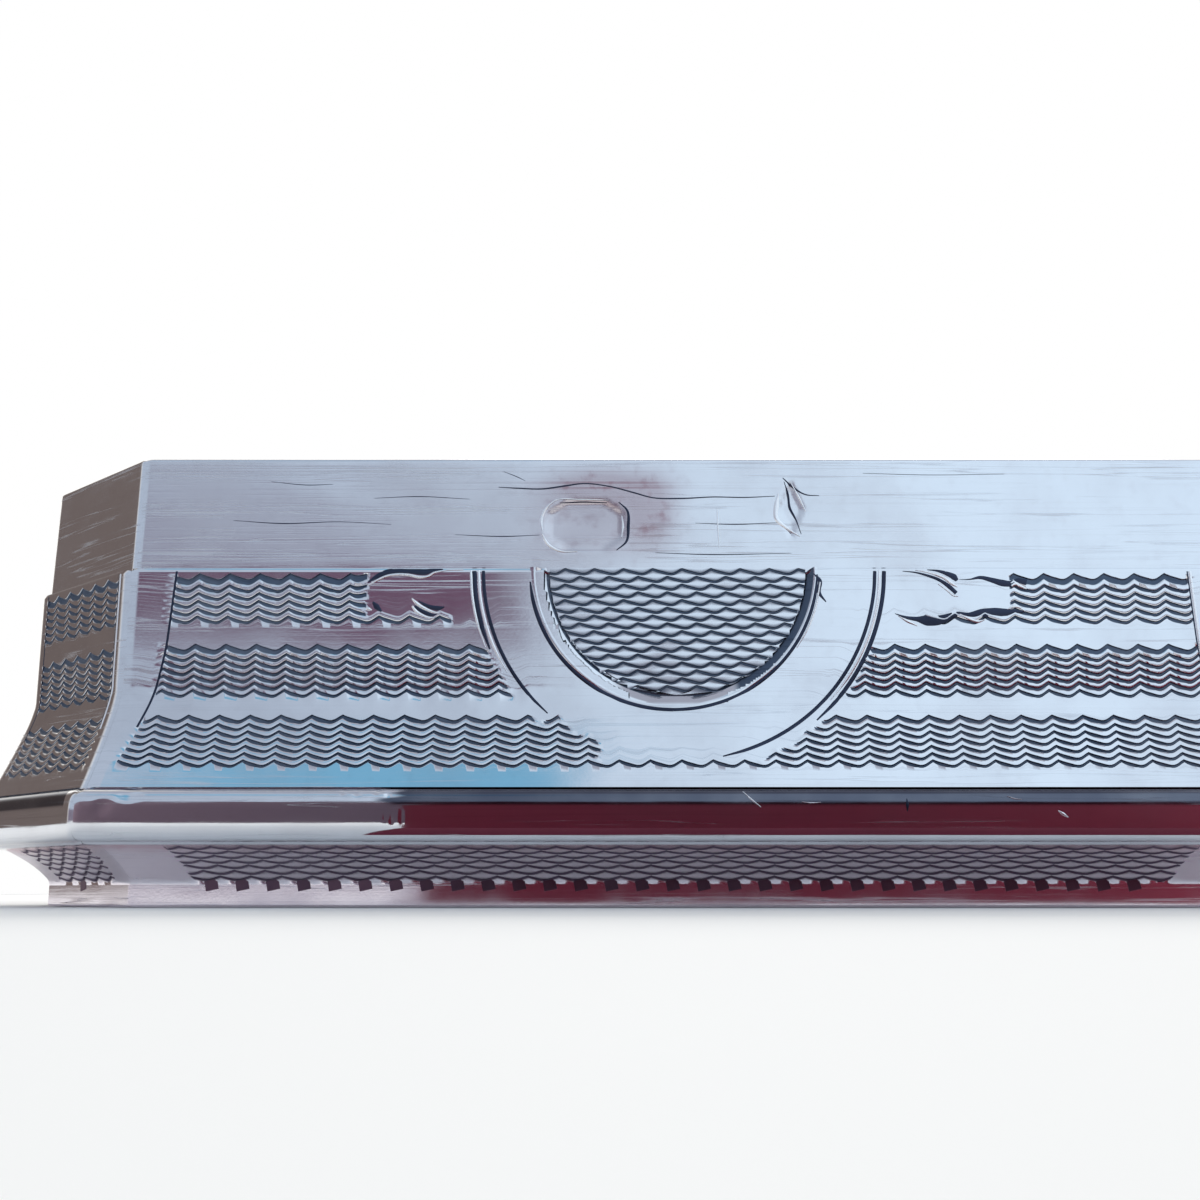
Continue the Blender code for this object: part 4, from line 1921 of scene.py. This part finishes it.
@dataclass
class Fringe(Part):
    """The row of short dark blocks that hangs from the last row of scales: a painted shadow under each
    scale.
    """

    slot: ClassVar[str] = "panel"
    section: Section
    start: float
    pitch: float
    margin: float
    width: float = 0.00056
    height: float = 0.00044
    thickness: float = 0.00003
    drop: float = 0.00021
    shift: float = -0.0004
    lean: float = math.radians(12)

    def build(self) -> None:
        """Set a painted shadow block under every crest of the last row, on all eight sides."""
        plan = self.plan
        down = np.array([self.start + self.drop])
        offset, height = self.section.at(down)[0]
        heading = self.section.heading(down)[0]
        places: list[Points] = []
        turns: list[Points] = []
        for side in Side:
            facet = plan.facet(side)
            reach = float(facet.reach(np.array(offset))) - self.margin - self.width / 2
            count = int(reach / self.pitch)
            along = np.arange(-count, count + 1) * self.pitch + self.shift
            points = facet.place(along, np.full_like(along, offset), np.full_like(along, height))
            places.append(plan.settle(points, self.half))
            aims = np.array([heading, (-heading[1], heading[0])])
            fall, out = (Vector(aim) for aim in plan.swing(facet.direction(aims), self.half))
            axes = Matrix((fall.cross(out), fall, out)).transposed()
            turn = (axes @ Matrix.Rotation(self.lean, 3, "Z")).to_euler()
            turns.append(np.broadcast_to(np.array(turn), (len(along), 3)))
        mesh = bpy.data.meshes.new("fringe_places")
        mesh.from_pydata(np.concatenate(places).tolist(), [], [])
        layer = mesh.attributes.new("turn", "FLOAT_VECTOR", "POINT")
        layer.data.foreach_set("vector", np.concatenate(turns).ravel())
        piece = new_object(self.named("fringe"), mesh)
        values = {
            "Width": self.width,
            "Height": self.height,
            "Thickness": self.thickness,
            "Metal": self.bench.metal(SCALE_SHADOW_PAINT),
        }
        settle_nodes(piece, self._tool(), values)
        self.bench.hand_over(piece, self.half, self.slot)

    @staticmethod
    def _tool() -> bpy.types.NodeTree:
        """A Geometry Nodes tree that sets a small dark block, a painted shadow, on each point of a line.

        Returns:
            The tree.
        """
        tree = open_tree("punched_fringe", "Places", ("Width", "Height", "Thickness"), "Marks")
        graph = Graph(tree)
        given = graph.given()
        inputs = {"X": given["Width"], "Y": given["Height"], "Z": given["Thickness"]}
        size = graph.out("ShaderNodeCombineXYZ", inputs)
        block = graph.out("GeometryNodeMeshCube", {"Size": size})
        facing = graph.out("FunctionNodeEulerToRotation", {0: graph.stored("turn", "FLOAT_VECTOR")})
        dots = graph.out("GeometryNodeMeshToPoints", {"Mesh": given["Places"]})
        inputs = {"Points": dots, "Instance": block, "Rotation": facing}
        rows = graph.out("GeometryNodeInstanceOnPoints", inputs)
        close_tree(graph, rows, given["Metal"])
        return tree


@dataclass
class Bezel(Part):
    """The plain band that stands up out of the base.

    Its marks are (along, height, half width, half height) in millimetres. A bloom is (along, height, width,
    height, power, share).
    """

    slot: ClassVar[str] = "bezel"
    inset: float = 0.00036
    lean: float = 0.00012
    sheet: float = 0.0005
    round: float = 0.00016
    step: float = 0.00014
    octagon: tuple[float, float, float, float] = (-4.35, 16.85, 1.80, 1.22)
    lozenge: tuple[float, float, float, float] = (4.90, 17.6, 0.62, 1.36)
    dent_depth: float = 0.00008
    blooms: tuple[tuple[float, ...], ...] = (
        (-3.6, 18.8, 2.4, 0.75, 2, 1.1),
        (-1.2, 17.4, 1.1, 1.5, 2, 1.0),
        (-4.2, 17.0, 3.0, 1.9, 4, 0.6),
    )
    bloom_share: float = 0.9
    lip_rows: int = 6
    lip_shares: Span = (0.4, 0.2)
    octagon_cut: float = 1.5
    octagon_edge: float = 7.0
    lozenge_edge: float = 5.0
    wear: float = 0.12

    def _section(self, low: float, high: float) -> Section:
        """The face from the lip down to the band's foot.

        Args:
            low: the height of the band's foot.
            high: the height of its lip.

        Returns:
            The section, from the lip down.
        """
        top_face = -self.inset - self.lean
        points = [(top_face - self.sheet + self.round, high)]
        for turn in np.linspace(math.pi / 2, 0.0, self.lip_rows):
            across = top_face - self.round + self.round * math.cos(turn)
            points.append((across, high - self.round + self.round * math.sin(turn)))
        points += [(-self.inset, self.plan.joint), (-self.inset, low)]
        return Section(tuple(points))

    def build(self) -> None:
        """Make the band with its rounded lip, its scores and two worn, blank punch marks."""
        low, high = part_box("bezel")
        face = self._section(low.z, high.z)
        back = -self.inset - self.lean - self.sheet
        ease, fall = (self.round * share for share in self.lip_shares)
        lip = (back + ease, high.z - fall)
        backing = Section((lip, (back, high.z - self.round), (back, low.z)))
        runs = face.runs
        shown = np.arange(runs[-3] + self.step, runs[-2], self.step)
        rows = [Row(float(down)) for down in (*runs[:-2], *shown, runs[-2] + self.step, runs[-1])]
        strips = [
            Strip(self.plan.facet(side), face, rows, backing, backing_rows=4, steps=1, pitch=self.step)
            for side in Side
        ]
        front = strips[Side.FRONT.value]
        front.dent = self._dents
        front.stain = self._stain
        self.make("bezel_band", [strip.sheet() for strip in strips], BEZEL_SILVER, Waves(), ["bezel"])
        self.engrave("bezel", [(front.facet, face, stroke) for stroke in BEZEL_SCORES])

    def _dents(self, along: Points, height: Points) -> Points:
        """Depth of the two blank marks, which are worn and uneven.

        Args:
            along: places along the facet, from its middle.
            height: their heights above the floor.

        Returns:
            The depth at each place.
        """
        x = along * PER_MILLIMETRE
        z = height * PER_MILLIMETRE
        u, v, wide, tall = self.octagon
        across, up = np.abs(x - u) / wide, np.abs(z - v) / tall
        edge = np.maximum(np.maximum(across, up), (across + up) / self.octagon_cut)
        eight = np.clip((1.0 - edge) * self.octagon_edge, 0.0, 1.0)
        u, v, wide, tall = self.lozenge
        across, up = np.abs(x - u) / wide, np.abs(z - v) / tall
        four = np.clip((1.0 - across - up) * self.lozenge_edge, 0.0, 1.0)
        worn = 1.0 + self.wear * np.sin(x * 1.6 + z * 0.9) * np.sin(z * 2.1 - x * 0.7)
        return self.dent_depth * worn * np.maximum(eight, four)

    def _stain(self, along: Points, height: Points) -> Points:
        """The brown bloom above and beside the larger mark.

        Args:
            along: places along the facet, from its middle.
            height: their heights above the floor.

        Returns:
            How strong the bloom is at each place.
        """
        bloom = np.zeros_like(along)
        for x, z, wide, tall, power, share in self.blooms:
            far = ((along * PER_MILLIMETRE - x) / wide) ** power
            far += ((height * PER_MILLIMETRE - z) / tall) ** power
            bloom += np.exp(-far) * share
        return np.clip(bloom, 0.0, 1.0) * self.bloom_share


@dataclass
class Hinge:
    """The knuckles on their bearers, and the pin."""

    bench: Bench
    radius: float = 0.0011
    corner: float = 0.00016
    bore: float = 0.00055
    steps: int = 40
    ease_start: float = 0.2
    ease_rows: int = 4
    knuckles: tuple[str, ...] = ("base_knuckle_left", "lid_knuckle_left", "base_knuckle_middle",
                                 "lid_knuckle_right", "base_knuckle_right")

    def build(self) -> None:
        """Make each knuckle as turned tube with eased ends, and give the plain pieces their metal."""
        for name in self.knuckles:
            half = Half.BASE if name.startswith("base") else Half.LID
            piece = self._knuckle(name)
            piece.data.materials.append(self.bench.metal(HINGE_SILVER))
            self.bench.hand_over(piece, half, "hinge", [name])
        for node in ("base_hinge_bearer", "lid_hinge_bearer"):
            self._recoat(node, HINGE_SILVER)
        self._recoat("hinge_pin", PIN_METAL)

    def _recoat(self, node: str, finish: SilverFinish) -> None:
        """Give a CAD node its finish.

        Args:
            node: the CAD node's name.
            finish: the finish.
        """
        obj = frame["nodes"][node]
        obj.data.materials.clear()
        obj.data.materials.append(self.bench.metal(finish))

    def _knuckle(self, node: str) -> bpy.types.Object:
        """One knuckle, turned about the hinge axis in the place of its CAD node.

        Args:
            node: the CAD node's name.

        Returns:
            The knuckle, still without its metal.
        """
        low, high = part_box(node)
        plan = self.bench.plan
        corner = self.corner
        profile = [(low.x, self.bore), (low.x, self.radius - corner)]
        for turn in np.linspace(self.ease_start, math.pi / 2, self.ease_rows):
            out = self.radius - corner + corner * math.sin(turn)
            profile.append((low.x + corner - corner * math.cos(turn), out))
        profile += [(low.x + high.x - x, r) for x, r in reversed(profile)]
        along, radius = np.array(profile).T
        turns = np.arange(self.steps)[:, None] / self.steps * math.tau
        deep = plan.hinge_y - radius * np.sin(turns)
        height = plan.joint + radius * np.cos(turns)
        points = np.stack([np.broadcast_to(along, deep.shape), deep, height], axis=-1)
        index = np.arange(deep.size).reshape(deep.shape)
        ahead = np.roll(index, -1, axis=0)
        quads = np.stack([index, ahead, np.roll(ahead, -1, axis=1), np.roll(index, -1, axis=1)], axis=-1)
        mesh = bpy.data.meshes.new(f"{node}_tube")
        mesh.from_pydata(points.reshape(-1, 3).tolist(), [], quads.reshape(-1, 4).tolist())
        face_out(mesh)
        return new_object(f"{node}_tube", mesh)


# Stage


@dataclass(frozen=True)
class Lamp:
    """A soft rectangular lamp that looks at the box."""

    name: str
    place: Place
    size: Span
    power: float
    colour: tuple[float, float, float]

    def build(self, target: Vector) -> None:
        """Hang the lamp.

        Args:
            target: the place that the lamp faces.
        """
        light = bpy.data.lights.new(self.name, "AREA")
        light.shape = "RECTANGLE"
        light.size, light.size_y = self.size
        light.energy = self.power
        light.color = self.colour
        obj = bpy.data.objects.new(self.name, light)
        obj.location = self.place
        obj.rotation_euler = (target - Vector(self.place)).to_track_quat("-Z", "Y").to_euler()
        bpy.context.scene.collection.objects.link(obj)


@dataclass(frozen=True)
class Room:
    """The colours of the room round the box, by direction."""

    right: Colour = (0.78, 0.92, 1.06, 1.0)
    left: Colour = (0.48, 0.55, 0.66, 1.0)
    low: Colour = (0.24, 0.21, 0.27, 1.0)
    blush: Colour = (0.155, 0.085, 0.135, 1.0)
    window: Colour = (0.20, 0.46, 0.66, 1.0)
    zenith: Colour = (0.40, 0.42, 0.50, 1.0)
    back: Colour = (1.36, 1.32, 1.24, 1.0)
    corner: Colour = (0.17, 0.135, 0.125, 1.0)
    guard: ClassVar[float] = 0.0001

    @staticmethod
    def _patch(left: Term, up: Term, near: Span, far: Span, foot: Span) -> Term:
        """A patch between two upright edges and above its foot, each with its soft span."""
        return left.step(*near) * (1.0 - left.step(*far)) * up.step(*foot)

    def world(self) -> bpy.types.World:
        """Build the world and return it.

        Returns:
            The world.
        """
        made = bpy.data.worlds.new("pale_room")
        made.use_nodes = True
        graph = Graph(made.node_tree)
        aim = graph.out("ShaderNodeTexCoord", {}, output="Generated")
        parts = graph.node("ShaderNodeSeparateXYZ", {"Vector": aim})
        across, ahead, up = (Term(graph, parts.outputs[name]) for name in ("X", "Y", "Z"))
        side = across / (across * across + ahead * ahead + self.guard).root()
        left = side * -1.0
        sky = side.step(-0.42, 0.24).between(self.left, self.right)
        sky = (1.0 - up.step(0.075, 0.100)).between(sky, self.low)
        patch = self._patch(left, up, (0.085, 0.115), (0.52, 0.66), (0.150, 0.160))
        fade = 1.0 - up.step(0.212, 0.235) * 0.6 - up.step(0.265, 0.330) * 0.4
        sky = (patch * fade).between(sky, self.blush)
        patch = self._patch(left, up, (0.08, 0.14), (0.50, 0.60), (0.715, 0.745))
        sky = (patch * (1.0 - up.step(0.79, 0.82))).between(sky, self.window)
        sky = up.step(0.84, 0.95).between(sky, self.zenith)
        sky = ahead.step(-0.05, 0.35).between(sky, self.back)
        sky = (left.step(0.62, 0.85) * ahead.step(0.05, 0.28)).between(sky, self.corner)
        room = graph.out("ShaderNodeBackground", {"Color": sky, "Strength": 1.0})
        white = graph.out("ShaderNodeBackground", {"Color": (1.0, 1.0, 1.0, 1.0), "Strength": 1.0})
        seen = graph.out("ShaderNodeLightPath", {}, output="Is Camera Ray")
        mixed = graph.out("ShaderNodeMixShader", {0: seen, 1: room, 2: white})
        graph.node("ShaderNodeOutputWorld", {"Surface": mixed})
        return made


@dataclass
class Studio:
    """Floor, light, room and the camera at the photograph's angle."""

    bench: Bench
    frame_width: float = 1200.0
    focal: float = 1519.0
    centre_line: float = 682.0
    pitch: float = math.radians(10.92)
    stand_off: float = 0.0661
    eye_height: float = 0.0006
    sensor: float = 36.0
    sight: float = 10.0
    floor_size: float = 1.6
    card_left: float = -0.0141
    card_right: float = 0.0450
    card_gap: float = 0.0150
    card_height: float = 0.0092
    card_foot: float = 0.0001
    near_share: float = 0.32
    rose_share: float = 0.3
    table_height: float = -0.00002
    lamp: Lamp = Lamp("back_lamp", (0.05, 0.42, 0.30), (0.26, 0.16), 1.15, (1.0, 0.97, 0.93))

    def build(self) -> None:
        """Set the stage."""
        self._camera()
        bpy.context.scene.world = Room().world()
        table = PlainFinish("pale_table", (0.925, 0.91, 0.885, 1.0), (0.91, 0.895, 0.87, 1.0))
        reach = self.floor_size / 2
        turns = ((-1, -1), (1, -1), (1, 1), (-1, 1))
        corners = [(x * reach, y * reach, self.table_height) for x, y in turns]
        self._card("table_top", corners, [(0, 1, 2, 3)], table)
        self._cloth()
        self.lamp.build(Vector((0.0, self.bench.plan.hinge_y, 0.0)))
        bpy.context.scene.view_settings.view_transform = "Standard"

    def _camera(self) -> None:
        """The camera, square to the front and pitched up from table height."""
        data = bpy.data.cameras.new("front_camera")
        data.sensor_width = self.sensor
        data.lens = self.focal / self.frame_width * self.sensor
        data.shift_x = (self.frame_width / 2 - self.centre_line) / self.frame_width
        data.clip_start = MILLIMETRE
        data.clip_end = self.sight
        camera = bpy.data.objects.new("front_camera", data)
        camera.location = (0.0, -self.bench.plan.half_depth - self.stand_off, self.eye_height)
        camera.rotation_euler = (math.pi / 2 + self.pitch, 0.0, 0.0)
        bpy.context.scene.collection.objects.link(camera)
        bpy.context.scene.camera = camera

    def _cloth(self) -> None:
        """A wine-red cloth and a rose card in front of the box, which only its silver sees."""
        finish = PlainFinish("wine_cloth", (0.21, 0.016, 0.040, 1.0), (0.17, 0.012, 0.034, 1.0))
        front = -self.bench.plan.half_depth
        far = front - self.card_gap
        near = front - self.card_gap * self.near_share
        spots = [(near, self.card_foot), (far, self.card_foot), (far, self.card_height)]
        corners = [(x, y, z) for y, z in spots for x in (self.card_left, self.card_right)]
        self._card("wine_cloth", corners, [(0, 1, 3, 2), (2, 3, 5, 4)], finish, seen=False)
        finish = PlainFinish("rose_card", (0.21, 0.145, 0.185, 1.0), (0.18, 0.12, 0.16, 1.0))
        heights = (self.card_height * self.rose_share, self.card_height)
        corners = [(x, far, z) for z in heights for x in (-self.card_right, self.card_left)]
        self._card("rose_card", corners, [(0, 1, 3, 2)], finish, seen=False)

    def _card(self, name: str, corners: Sequence[Place], faces: Sequence[tuple[int, ...]],
              finish: PlainFinish, seen: bool = True) -> None:
        """A thin stage piece, which the camera sees or which only shows in the silver.

        Args:
            name: the piece's name.
            corners: its corners.
            faces: the corners' numbers for each face.
            finish: its finish.
            seen: whether the camera sees it.
        """
        mesh = bpy.data.meshes.new(name)
        mesh.from_pydata(corners, [], faces)
        mesh.materials.append(self.bench.metal(finish))
        card = new_object(name, mesh)
        if not seen:
            card.visible_camera = False
            card.visible_shadow = False
            card.visible_diffuse = False


def main() -> None:
    """Build the box half by half, then the hinge and the stage."""
    logging.basicConfig(level=logging.INFO, format="%(name)s: %(message)s")
    bench = Bench(Plan.from_frame(Wall.flare))
    for half in Half:
        Wall(bench, half).build()
        Wire(bench, half).build()
        Panel(bench, half).build()
    Bezel(bench, Half.BASE).build()
    Hinge(bench).build()
    Studio(bench).build()


if __name__ == "__main__":
    main()
